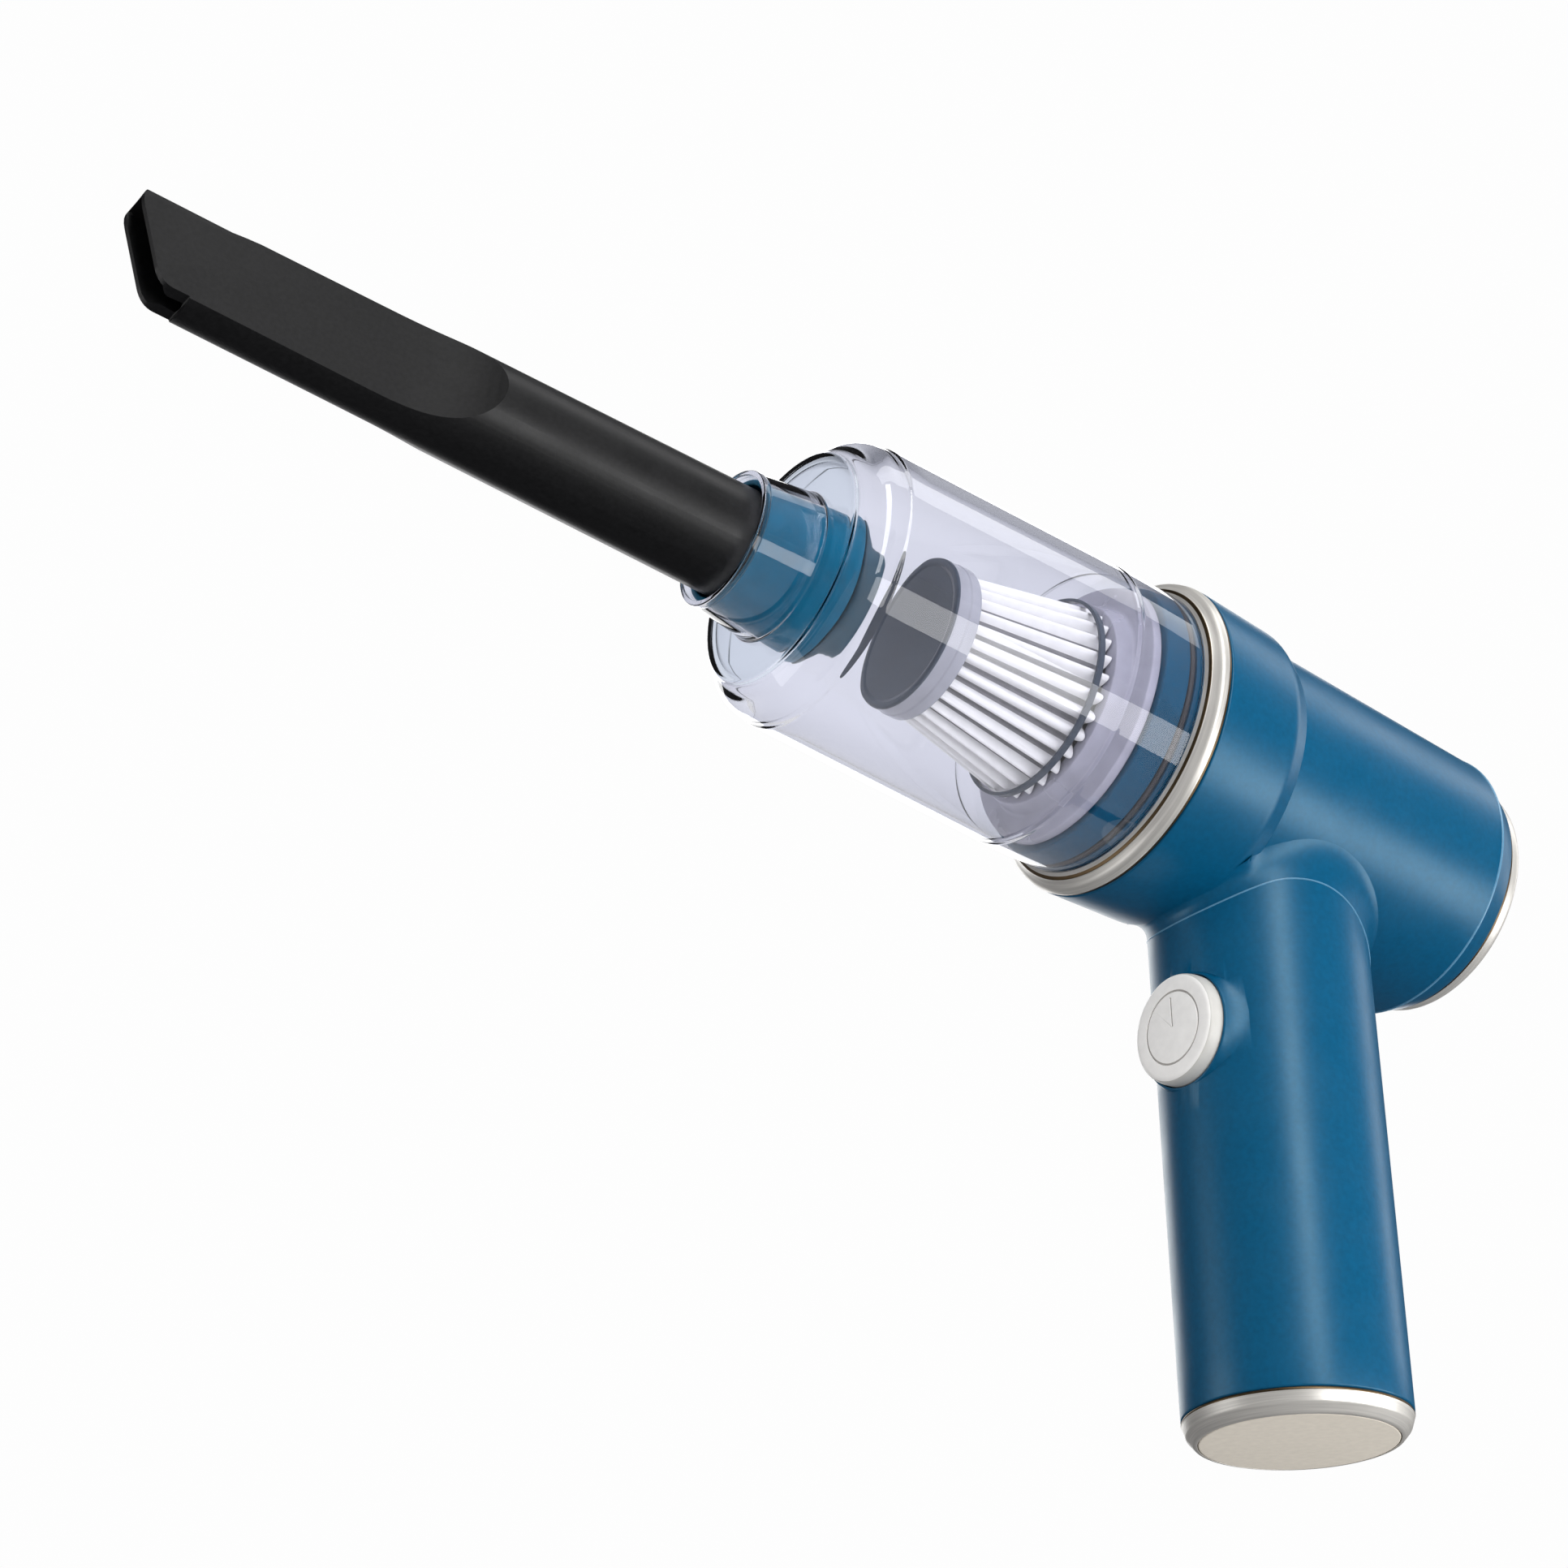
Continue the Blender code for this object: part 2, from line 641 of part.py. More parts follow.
def tube_radius(distance):
    """Outer radius of the tapered inlet tube at a distance forward."""
    slope = (TUBE_RADIUS_BACK - TUBE_RADIUS_FRONT) / (TUBE_FRONT - TUBE_BACK)
    return TUBE_RADIUS_FRONT + slope * (TUBE_FRONT - distance)


# ---------------------------------------------------------------- filter

def pleat_ring(distance, tip_radius, depth):
    """A star-shaped ring of pleat tips and valleys about the barrel's axis."""
    points = []
    for index in range(2 * PLEAT_COUNT):
        radius = tip_radius - (depth if index % 2 else 0.0)
        angle = pi * index / PLEAT_COUNT
        points.append(Vector((radius * cos(angle), radius * sin(angle), distance)) * MM)
    return points


def build_filter(barrel):
    """The pleated cone filter: rear flange, pleats, retaining band and front cap."""
    flange = [
        (PLEAT_RADIUS_BACK + 1.0, FLANGE_FRONT),
        (PLEAT_RADIUS_BACK + 2.0, FLANGE_STEP + 0.2),
        (FLANGE_RADIUS, FLANGE_STEP),
        (FLANGE_RADIUS, SPIGOT_END + GAP),
        (SPIGOT_HOLE - GAP, SPIGOT_END + GAP),
        (SPIGOT_HOLE - GAP, SLEEVE_BACK),
        (SLEEVE_BORE, SLEEVE_BACK),
        (SLEEVE_BORE, FLANGE_STEP),
        (19.0, FLANGE_FRONT),
    ]
    turned("filter_flange", flange, barrel, (SMOKE, 0.25, 0.0))
    rings = [
        pleat_ring(PLEAT_BACK, PLEAT_RADIUS_BACK, PLEAT_DEPTH_BACK),
        pleat_ring(PLEAT_FRONT, PLEAT_RADIUS_FRONT, PLEAT_DEPTH_FRONT),
        pleat_ring(PLEAT_FRONT, PLEAT_RADIUS_FRONT - PAPER, PLEAT_DEPTH_FRONT),
        pleat_ring(PLEAT_BACK, PLEAT_RADIUS_BACK - PAPER, PLEAT_DEPTH_BACK),
    ]
    lofted("filter_pleats", rings, barrel, (WHITE, 0.8, 0.0))
    band = [
        (BAND_RADIUS, BAND_FRONT),
        (BAND_RADIUS, BAND_BACK),
        (BAND_BORE, BAND_BACK),
        (BAND_BORE, BAND_FRONT),
    ]
    turned("filter_band", band, barrel, (SMOKE, 0.4, 0.0))
    cap = [
        (0.0, CAP_FRONT),
        (CAP_RADIUS - CAP_EDGE, CAP_FRONT),
        (CAP_RADIUS, CAP_FRONT - CAP_EDGE),
        (CAP_RADIUS + 0.3, CAP_BACK),
        (CAP_RADIUS - 0.8, CAP_BACK),
        (CAP_RADIUS - 1.1, CAP_FRONT - CAP_WALL),
        (0.0, CAP_FRONT - CAP_WALL),
    ]
    turned("filter_cap", cap, barrel, (SMOKE, 0.25, 0.0), closed=False)


# ---------------------------------------------------------------- nozzle

def nozzle_radius(distance):
    """Outer radius of the tapered nozzle tube."""
    share = (distance - NOZZLE_BACK) / (NOZZLE_TIP - NOZZLE_BACK)
    return NOZZLE_RADIUS_BACK + share * (NOZZLE_RADIUS_TIP - NOZZLE_RADIUS_BACK)


def nozzle_ring(distance, inset, floor=None, slant=0.0):
    """A section of the nozzle: a circle pressed flat on both sides, with an optional floor.

    The flats close in quickly from FLAT_START and run parallel after FLAT_RUN_OUT. A slanted ring
    leans back towards its lower side. Forward of DROOP_START the tube droops a little.
    """
    outer = nozzle_radius(distance)
    radius = outer - inset
    start_radius = nozzle_radius(FLAT_START)
    left = 1.0 - min(1.0, max(0.0, (distance - FLAT_START) / FLAT_RUN_OUT))
    half_width = FLAT_HALF_WIDTH + (start_radius - FLAT_HALF_WIDTH) * left ** FLAT_CURVE - inset
    droop = DROOP_SLOPE * max(0.0, distance - DROOP_START)
    steps = 44
    points = []
    for index in range(steps):
        angle = 2.0 * pi * index / steps
        up = radius * cos(angle)
        if floor is not None:
            up = max(up, floor + inset)
        side = max(-half_width, min(half_width, radius * sin(angle)))
        points.append(Vector((up - droop, side, distance - slant * (outer - up))) * MM)
    return points


def build_nozzle(barrel):
    """The crevice nozzle: a tapered tube whose end is flattened to a slanted slot."""
    tube = [NOZZLE_BACK, DROOP_START, 165.0, FLAT_START]
    run_out = [FLAT_START + share * FLAT_RUN_OUT for share in (0.06, 0.16, 0.28, 0.44, 0.66, 1.0)]
    outside = [nozzle_ring(distance, 0.0) for distance in tube + run_out]
    outside.append(nozzle_ring(NOTCH_START - NOTCH_STEP, 0.0))
    outside.append(nozzle_ring(NOTCH_START, 0.0, NOTCH_FLOOR))
    outside.append(nozzle_ring(NOZZLE_TIP, 0.0, NOTCH_FLOOR, MOUTH_SLANT))
    inside = [nozzle_ring(NOZZLE_TIP, NOZZLE_WALL, NOTCH_FLOOR, MOUTH_SLANT)]
    inside += [nozzle_ring(distance, NOZZLE_WALL, NOTCH_FLOOR) for distance in (245.0, run_out[-1])]
    inside += [nozzle_ring(distance, NOZZLE_WALL) for distance in reversed(tube + run_out[:-1])]
    lofted("crevice_nozzle", outside + inside, barrel, (BLACK, 0.45, 0.0))


# ---------------------------------------------------------------- motor and fan

def build_motor(barrel):
    """The motor can with its end cap, bushes, mount and screws, and the turning parts."""
    can = [
        (MOTOR_BORE, MOTOR_FRONT),
        (MOTOR_RADIUS, MOTOR_FRONT),
        (MOTOR_RADIUS, MOTOR_BACK),
        (MOTOR_RADIUS - MOTOR_WALL, MOTOR_BACK),
        (MOTOR_RADIUS - MOTOR_WALL, MOTOR_FRONT - 1.6),
        (MOTOR_BORE, MOTOR_FRONT - 1.6),
    ]
    turned("motor_can", can, barrel, (STEEL, 0.35, 1.0))
    end_cap = [
        (MOTOR_RADIUS, MOTOR_BACK - GAP),
        (MOTOR_RADIUS, MOTOR_CAP_END),
        (MOTOR_BORE, MOTOR_CAP_END),
        (MOTOR_BORE, MOTOR_BACK - GAP),
    ]
    turned("motor_end_cap", end_cap, barrel, (BLACK, 0.5, 0.0))
    for name, low, high in (("front_bushing", 6.5, 11.5), ("rear_bushing", -32.0, -27.0)):
        bore = SHAFT_RADIUS + RUNNING_CLEARANCE
        bush = [(BUSH_RADIUS, high), (BUSH_RADIUS, low), (bore, low), (bore, high)]
        turned(name, bush, barrel, (BRONZE, 0.4, 1.0), steps=SMALL_STEPS)
    shaft = [(0.0, SHAFT_FRONT), (SHAFT_RADIUS, SHAFT_FRONT), (SHAFT_RADIUS, SHAFT_BACK), (0.0, SHAFT_BACK)]
    turned("motor_shaft", shaft, barrel, (STEEL, 0.25, 1.0), closed=False, steps=SMALL_STEPS)
    bore = SHAFT_RADIUS + GAP
    rotor = [(ROTOR_RADIUS, ROTOR_FRONT), (ROTOR_RADIUS, ROTOR_BACK), (bore, ROTOR_BACK), (bore, ROTOR_FRONT)]
    turned("motor_rotor", rotor, barrel, (STEEL, 0.5, 1.0), steps=SMALL_STEPS)
    build_motor_mount(barrel)
    build_fan(barrel)


def build_motor_mount(barrel):
    """The plate that carries the motor, with six air openings and two screws."""
    outer = REAR_RADIUS_FRONT - HOUSING_WALL - GAP
    plate = [(outer, MOUNT_FRONT), (outer, MOUNT_BACK), (MOUNT_BORE, MOUNT_BACK), (MOUNT_BORE, MOUNT_FRONT)]
    middle = 0.5 * (MOUNT_FRONT + MOUNT_BACK)
    mount = turned("motor_mount", plate, barrel, (BLACK, 0.6, 0.0))
    mesh = bpy.data.meshes.new("mount_holes")
    builder = bmesh.new()
    holes = [(SCREW_PLACE, 0.0, SCREW_HOLE_RADIUS), (SCREW_PLACE, pi, SCREW_HOLE_RADIUS)]
    for index in range(MOUNT_OPENINGS):
        holes.append((MOUNT_OPENING_PLACE, 2.0 * pi * (index + 0.5) / MOUNT_OPENINGS, MOUNT_OPENING_RADIUS))
    for reach, angle, radius in holes:
        place = Vector((reach * cos(angle), reach * sin(angle), middle)) * MM
        bmesh.ops.create_cone(builder, cap_ends=True, segments=12, radius1=radius * MM, radius2=radius * MM,
                              depth=8.0 * MM, matrix=Matrix.Translation(place))
    builder.to_mesh(mesh)
    builder.free()
    combine(mount, finish(bpy.data.objects.new("mount_holes", mesh), barrel), "DIFFERENCE")
    screw = [(0.0, 14.0), (2.6, 14.0), (2.6, 12.3), (1.3, 12.3), (1.3, 9.9), (0.0, 9.9)]
    for number, side in ((1, -1.0), (2, 1.0)):
        place = make_empty(f"screw_place_{number}", (side * SCREW_PLACE, 0.0, 0.0))
        place.parent = barrel
        turned(f"motor_screw_{number}", screw, place, (STEEL, 0.3, 1.0), closed=False, steps=12)


def build_fan(barrel):
    """The fan wheel with straight blades, and the shroud in front of it."""
    bore = SHAFT_RADIUS + GAP
    wheel = [
        (5.0, FAN_FRONT),
        (6.0, FAN_DISC_FRONT),
        (FAN_RADIUS, FAN_DISC_FRONT),
        (FAN_RADIUS, FAN_BACK),
        (bore, FAN_BACK),
        (bore, FAN_FRONT),
    ]
    fan = turned("fan_wheel", wheel, barrel, (WHITE, 0.4, 0.0))
    mesh = bpy.data.meshes.new("fan_blades")
    builder = bmesh.new()
    for index in range(FAN_BLADES):
        turn = Matrix.Rotation(2.0 * pi * (index + 0.3) / FAN_BLADES, 4, "Z")
        place = Matrix.Translation(Vector((13.0, 0.0, 28.4)) * MM)
        size = Matrix.Diagonal((*(Vector(BLADE_SIZE) * MM), 1.0))
        bmesh.ops.create_cube(builder, size=1.0, matrix=turn @ place @ size)
    builder.to_mesh(mesh)
    builder.free()
    blades = finish(bpy.data.objects.new("fan_blades", mesh), barrel)
    combine(fan, blades, "UNION")
    inner = SHROUD_RADIUS - SHROUD_WALL
    shroud = [
        (10.0, 36.6),
        (SHROUD_RADIUS, 35.0),
        (SHROUD_RADIUS, 20.0),
        (inner, 20.0),
        (inner, 35.0 - SHROUD_WALL),
        (10.0, 36.6 - SHROUD_WALL),
    ]
    turned("fan_shroud", shroud, barrel, (BLACK, 0.5, 0.0))


def build_leads():
    """Two leads from the control board up through the grip to the motor's end cap."""
    for name, side, colour in (("motor_lead_1", -1.0, LEAD_RED), ("motor_lead_2", 1.0, BLACK)):
        across = side * 4.0
        route = [
            (14.2, across, 73.0),
            (14.2, across, 100.0),
            (14.6, across, 112.0),
            (17.5, across, 117.0),
            (24.0, across, 118.5),
            (31.0, across, 119.5),
            (33.6, across, 122.0),
            (34.0, across, 127.0),
        ]
        wire(name, route, 0.8, None, (colour, 0.5, 0.0))


def main():
    """Build the whole vacuum."""
    barrel = make_empty("barrel_axis", (0.0, 0.0, BARREL_HEIGHT), (0.0, BARREL_PITCH - pi / 2.0, 0.0))
    bpy.context.view_layer.update()
    build_base()
    build_grip(barrel)
    build_port()
    build_button()
    build_battery()
    build_housings(barrel)
    build_spigot(barrel)
    build_cup(barrel)
    build_filter(barrel)
    build_nozzle(barrel)
    build_motor(barrel)
    build_leads()


main()
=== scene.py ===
"""Looks of the cordless hand vacuum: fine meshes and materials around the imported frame."""

import json
from math import cos, pi, radians, sin, sqrt

import bmesh
import bpy
from mathutils import Matrix, Vector


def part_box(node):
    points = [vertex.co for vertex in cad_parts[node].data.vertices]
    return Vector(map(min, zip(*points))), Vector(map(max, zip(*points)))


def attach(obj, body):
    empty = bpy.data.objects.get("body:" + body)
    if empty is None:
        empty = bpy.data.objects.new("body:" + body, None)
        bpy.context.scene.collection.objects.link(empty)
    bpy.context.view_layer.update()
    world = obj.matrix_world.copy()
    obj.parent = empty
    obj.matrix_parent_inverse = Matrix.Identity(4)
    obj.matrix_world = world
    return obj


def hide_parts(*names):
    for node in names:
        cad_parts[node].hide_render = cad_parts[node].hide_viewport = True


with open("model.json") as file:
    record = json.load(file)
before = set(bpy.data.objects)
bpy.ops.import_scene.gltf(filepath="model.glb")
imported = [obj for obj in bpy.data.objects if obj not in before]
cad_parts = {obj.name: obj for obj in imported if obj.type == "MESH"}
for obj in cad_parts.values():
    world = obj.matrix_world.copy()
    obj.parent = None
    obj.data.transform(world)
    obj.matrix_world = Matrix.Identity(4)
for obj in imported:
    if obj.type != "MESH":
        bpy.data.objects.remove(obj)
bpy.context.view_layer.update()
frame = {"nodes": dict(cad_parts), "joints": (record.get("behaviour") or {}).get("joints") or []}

MM = 0.001
TURN_STEPS = 128
ON_AXIS = 0.001 * MM
SHARP_ANGLE = 40.0


# ------------------------ places taken from the frame

FAN = next(joint for joint in frame["joints"] if joint["name"] == "fan_spin")
BARREL_POINT = Vector(FAN["pos_m"])
FORWARD = Vector(FAN["axis"]).normalized()
SIDE = Vector((0.0, 1.0, 0.0))
UP = SIDE.cross(FORWARD).normalized()
BARREL = Matrix.Translation(BARREL_POINT) @ Matrix((UP, SIDE, FORWARD)).transposed().to_4x4()
TO_BARREL = BARREL.inverted()
GRIP = Matrix.Identity(4)


class Span:
    """Where a turned node lies: back and front along the barrel, and its radii."""

    def __init__(self, node, to_local=TO_BARREL):
        points = [to_local @ vertex.co for vertex in frame["nodes"][node].data.vertices]
        self.rings = [(sqrt(point.x ** 2 + point.y ** 2), point.z) for point in points]
        self.back = min(height for radius, height in self.rings)
        self.front = max(height for radius, height in self.rings)
        self.outer = max(radius for radius, height in self.rings)
        self.inner = min(radius for radius, height in self.rings)

    def outer_at(self, height, reach=0.4 * MM):
        """Largest radius of the rings near a height."""
        return max(radius for radius, level in self.rings if abs(level - height) < reach)

    def inner_at(self, height, reach=0.4 * MM):
        """Smallest radius of the rings near a height."""
        return min(radius for radius, level in self.rings if abs(level - height) < reach)


# ------------------------ mesh tools

def new_object(name, mesh, matrix):
    """An object in the scene with its place set."""
    obj = bpy.data.objects.new(name, mesh)
    bpy.context.scene.collection.objects.link(obj)
    obj.matrix_world = matrix
    return obj


def rounded(points, steps=5):
    """Round the corners of a closed (radius, height, rounding) profile with short curves."""
    result = []
    count = len(points)
    for index, (radius, height, rounding) in enumerate(points):
        corner = Vector((radius, height))
        before = Vector(points[index - 1][:2]) - corner
        after = Vector(points[(index + 1) % count][:2]) - corner
        if rounding <= 0.0:
            result.append((radius, height))
            continue
        reach_before = min(rounding, 0.45 * before.length)
        reach_after = min(rounding, 0.45 * after.length)
        start = corner + before.normalized() * reach_before
        end = corner + after.normalized() * reach_after
        for step in range(steps + 1):
            share = step / steps
            point = start * (1 - share) ** 2 + corner * 2 * share * (1 - share) + end * share ** 2
            result.append((point.x, point.y))
    return result


def turned(name, points, matrix=BARREL, steps=TURN_STEPS):
    """Turn a closed profile of (radius, height, rounding) about local Z into one closed body."""
    builder = bmesh.new()
    turns = [2 * pi * step / steps for step in range(steps)]
    rings = []
    for radius, height in rounded(points):
        if radius < ON_AXIS:
            rings.append([builder.verts.new((0.0, 0.0, height))])
            continue
        rings.append([builder.verts.new((radius * cos(turn), radius * sin(turn), height)) for turn in turns])
    for first, second in zip(rings, rings[1:] + rings[:1]):
        if len(first) == 1 and len(second) == 1:
            continue
        for step in range(steps):
            after = (step + 1) % steps
            corners = [first[step % len(first)], first[after % len(first)],
                       second[after % len(second)], second[step % len(second)]]
            unique = list(dict.fromkeys(corners))
            builder.faces.new(unique)
    return from_builder(name, builder, matrix)


def from_builder(name, builder, matrix):
    """Make a smooth shaded object from a bmesh builder."""
    bmesh.ops.recalc_face_normals(builder, faces=builder.faces)
    mesh = bpy.data.meshes.new(name)
    builder.to_mesh(mesh)
    builder.free()
    mesh.shade_smooth()
    mesh.set_sharp_from_angle(angle=radians(SHARP_ANGLE))
    return new_object(name, mesh, matrix)


def loops_of(builder, rings):
    """New vertices for rings of points, ring by ring."""
    return [[builder.verts.new(point) for point in ring] for ring in rings]


def skin(builder, loops, followers):
    """Join each loop to the one that follows it, point by point."""
    for first, second in zip(loops, followers):
        count = len(first)
        for index in range(count):
            after = (index + 1) % count
            builder.faces.new((first[index], first[after], second[after], second[index]))


def lofted(name, rings, matrix):
    """Skin a closed chain of rings of equal point counts."""
    builder = bmesh.new()
    loops = loops_of(builder, rings)
    skin(builder, loops, loops[1:] + loops[:1])
    return from_builder(name, builder, matrix)


def capped(name, rings, matrix):
    """Skin rings of equal point counts into a closed tool, with a cap at each end."""
    builder = bmesh.new()
    loops = loops_of(builder, rings)
    builder.faces.new(loops[0][::-1])
    builder.faces.new(loops[-1])
    skin(builder, loops, loops[1:])
    return from_builder(name, builder, matrix)


def box_tool(name, size, centre, matrix):
    """A box for cutting, of a size about a centre in the given frame."""
    builder = bmesh.new()
    place = Matrix.Translation(Vector(centre)) @ Matrix.Diagonal((*size, 1.0))
    bmesh.ops.create_cube(builder, size=1.0, matrix=place)
    return from_builder(name, builder, matrix)


def rod_tool(name, radius, length, matrix, steps=96):
    """A cylinder for cutting, along the local Z of a matrix and centred on it."""
    builder = bmesh.new()
    bmesh.ops.create_cone(builder, cap_ends=True, segments=steps,
                          radius1=radius, radius2=radius, depth=length)
    return from_builder(name, builder, matrix)


def cut(obj, tools, operation="DIFFERENCE"):
    """Apply Booleans with tools, which are then removed."""
    for tool in tools:
        modifier = obj.modifiers.new(tool.name, "BOOLEAN")
        modifier.operation = operation
        modifier.object = tool
        modifier.solver = "EXACT"
    apply_modifiers(obj)
    for tool in tools:
        bpy.data.objects.remove(tool, do_unlink=True)


def apply_modifiers(obj):
    """Replace an object's mesh with its evaluated one."""
    bpy.context.view_layer.update()
    evaluated = obj.evaluated_get(bpy.context.evaluated_depsgraph_get())
    mesh = bpy.data.meshes.new_from_object(evaluated)
    mesh.name = obj.name
    obj.modifiers.clear()
    obj.data = mesh


def soften(obj, width, segments=2, angle=35.0):
    """Round the sharp edges of an object and shade it smooth."""
    bevel = obj.modifiers.new("Edges", "BEVEL")
    bevel.width = width
    bevel.segments = segments
    bevel.limit_method = "ANGLE"
    bevel.angle_limit = radians(angle)
    bevel.use_clamp_overlap = True
    bevel.harden_normals = False
    apply_modifiers(obj)
    obj.data.shade_smooth()
    obj.data.set_sharp_from_angle(angle=radians(angle))


def paint(obj, material, test):
    """Give a second material to the faces whose centre passes test(radius, height)."""
    obj.data.materials.append(material)
    slot_index = len(obj.data.materials) - 1
    for polygon in obj.data.polygons:
        radius = sqrt(polygon.center.x ** 2 + polygon.center.y ** 2)
        if test(radius, polygon.center.z):
            polygon.material_index = slot_index


def place(obj, body, material, slot_name, node):
    """Give a piece its material and body, and hide the CAD node it stands for."""
    if material:
        obj.data.materials.clear()
        obj.data.materials.append(material)
    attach(obj, body)
    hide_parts(node)
    return obj


# ------------------------ materials

PATTERN_LOW = 0.3
PATTERN_HIGH = 0.7


def principled(name, colour, roughness, metallic=0.0, **values):
    """A Principled material with constant values set on its sockets."""
    material = bpy.data.materials.new(name)
    material.use_nodes = True
    shader = material.node_tree.nodes["Principled BSDF"]
    shader.inputs["Base Color"].default_value = (*colour, 1.0)
    shader.inputs["Roughness"].default_value = roughness
    shader.inputs["Metallic"].default_value = metallic
    for socket, value in values.items():
        shader.inputs[socket.replace("_", " ")].default_value = value
    return material, shader


def noise(material, scale, detail=4.0, stretch=(1.0, 1.0, 1.0)):
    """A noise pattern in object coordinates."""
    nodes = material.node_tree.nodes
    links = material.node_tree.links
    coordinates = nodes.new("ShaderNodeTexCoord")
    mapping = nodes.new("ShaderNodeMapping")
    mapping.inputs["Scale"].default_value = stretch
    texture = nodes.new("ShaderNodeTexNoise")
    texture.inputs["Scale"].default_value = scale
    texture.inputs["Detail"].default_value = detail
    links.new(coordinates.outputs["Object"], mapping.inputs["Vector"])
    links.new(mapping.outputs["Vector"], texture.inputs["Vector"])
    return texture


def vary(material, shader, socket, texture, low, high):
    """Drive a number socket from a pattern, between low and high."""
    links = material.node_tree.links
    spread = material.node_tree.nodes.new("ShaderNodeMapRange")
    spread.inputs["From Min"].default_value = PATTERN_LOW
    spread.inputs["From Max"].default_value = PATTERN_HIGH
    spread.inputs["To Min"].default_value = low
    spread.inputs["To Max"].default_value = high
    links.new(texture.outputs["Fac"], spread.inputs["Value"])
    links.new(spread.outputs["Result"], shader.inputs[socket])


def tint(material, shader, texture, first, second):
    """Drive the base colour from a pattern, between two colours."""
    nodes = material.node_tree.nodes
    links = material.node_tree.links
    ramp = nodes.new("ShaderNodeValToRGB")
    ramp.color_ramp.elements[0].position = PATTERN_LOW
    ramp.color_ramp.elements[0].color = (*first, 1.0)
    ramp.color_ramp.elements[1].position = PATTERN_HIGH
    ramp.color_ramp.elements[1].color = (*second, 1.0)
    links.new(texture.outputs["Fac"], ramp.inputs["Fac"])
    links.new(ramp.outputs["Color"], shader.inputs["Base Color"])


def bump(material, shader, texture, strength, distance):
    """Raise the surface by a pattern."""
    links = material.node_tree.links
    node = material.node_tree.nodes.new("ShaderNodeBump")
    node.inputs["Strength"].default_value = strength
    node.inputs["Distance"].default_value = distance
    links.new(texture.outputs["Fac"], node.inputs["Height"])
    links.new(node.outputs["Normal"], shader.inputs["Normal"])


def scaled(colour, factor):
    """A colour made lighter or darker."""
    return tuple(min(1.0, channel * factor) for channel in colour)


def moulded(name, colour, roughness, grain=2600.0, depth=0.03 * MM, strength=0.25, spread=0.1, **values):
    """Moulded or coated plastic: fine grain, slight change of colour and gloss."""
    material, shader = principled(name, colour, roughness, **values)
    darker = scaled(colour, 1 - spread)
    lighter = scaled(colour, 1 + spread)
    bump(material, shader, noise(material, grain, 3.0), strength, depth)
    tint(material, shader, noise(material, grain * 0.35, 6.0), darker, lighter)
    vary(material, shader, "Roughness", noise(material, 90.0), roughness - 0.03, roughness + 0.04)
    return material


def brushed(name, colour, roughness, metallic=1.0):
    """Satin metal with fine turning marks round its axis."""
    stretch = (0.1, 0.1, 6.0)
    scale = 900.0
    material, shader = principled(name, colour, roughness, metallic)
    darker = scaled(colour, 0.86)
    lighter = scaled(colour, 1.12)
    bump(material, shader, noise(material, scale, 5.0, stretch), 0.2, 0.02 * MM)
    tint(material, shader, noise(material, scale * 0.6, 4.0, stretch), darker, lighter)
    vary(material, shader, "Roughness", noise(material, 120.0), roughness - 0.05, roughness + 0.08)
    return material


def clear_plastic(name, colour, roughness):
    """Clear plastic. Lamps shine through it, so the pieces inside it are lit."""
    material, shader = principled(name, colour, roughness, Transmission_Weight=1.0, IOR=1.47)
    nodes = material.node_tree.nodes
    links = material.node_tree.links
    tint(material, shader, noise(material, 14.0), colour, scaled(colour, 0.98))
    vary(material, shader, "Roughness", noise(material, 60.0), roughness, roughness + 0.015)
    path = nodes.new("ShaderNodeLightPath")
    open_to_lamps = nodes.new("ShaderNodeBsdfTransparent")
    open_to_lamps.inputs["Color"].default_value = (*colour, 1.0)
    mix = nodes.new("ShaderNodeMixShader")
    links.new(path.outputs["Is Shadow Ray"], mix.inputs["Fac"])
    links.new(shader.outputs["BSDF"], mix.inputs[1])
    links.new(open_to_lamps.outputs["BSDF"], mix.inputs[2])
    links.new(mix.outputs["Shader"], nodes["Material Output"].inputs["Surface"])
    return material


BLUE = moulded("blue_soft_coat", (0.0, 0.075, 0.165), 0.34, Specular_Tint=(0.6, 0.88, 1.0, 1.0))
# Lighter blue for the grip's seam bead and the rear housing's bead: a painted highlight along these edges.
BLUE_PAINTED_HIGHLIGHT = moulded("blue_edge_painted_highlight", (0.09, 0.24, 0.38), 0.3)
TUBE_BLUE = moulded("blue_tube", (0.0, 0.085, 0.155), 0.3, grain=900.0, strength=0.04,
                    Specular_IOR_Level=0.12)
CHAMPAGNE = brushed("champagne_metal", (0.66, 0.64, 0.60), 0.34, metallic=0.45)
BRONZE_LINE = brushed("bronze_line", (0.16, 0.11, 0.06), 0.4)
CREAM = moulded("cream_disc", (0.84, 0.775, 0.665), 0.5, grain=1800.0, spread=0.04)
BUTTON = moulded("button_plastic", (0.93, 0.915, 0.885), 0.4, grain=1500.0, strength=0.15, spread=0.03)
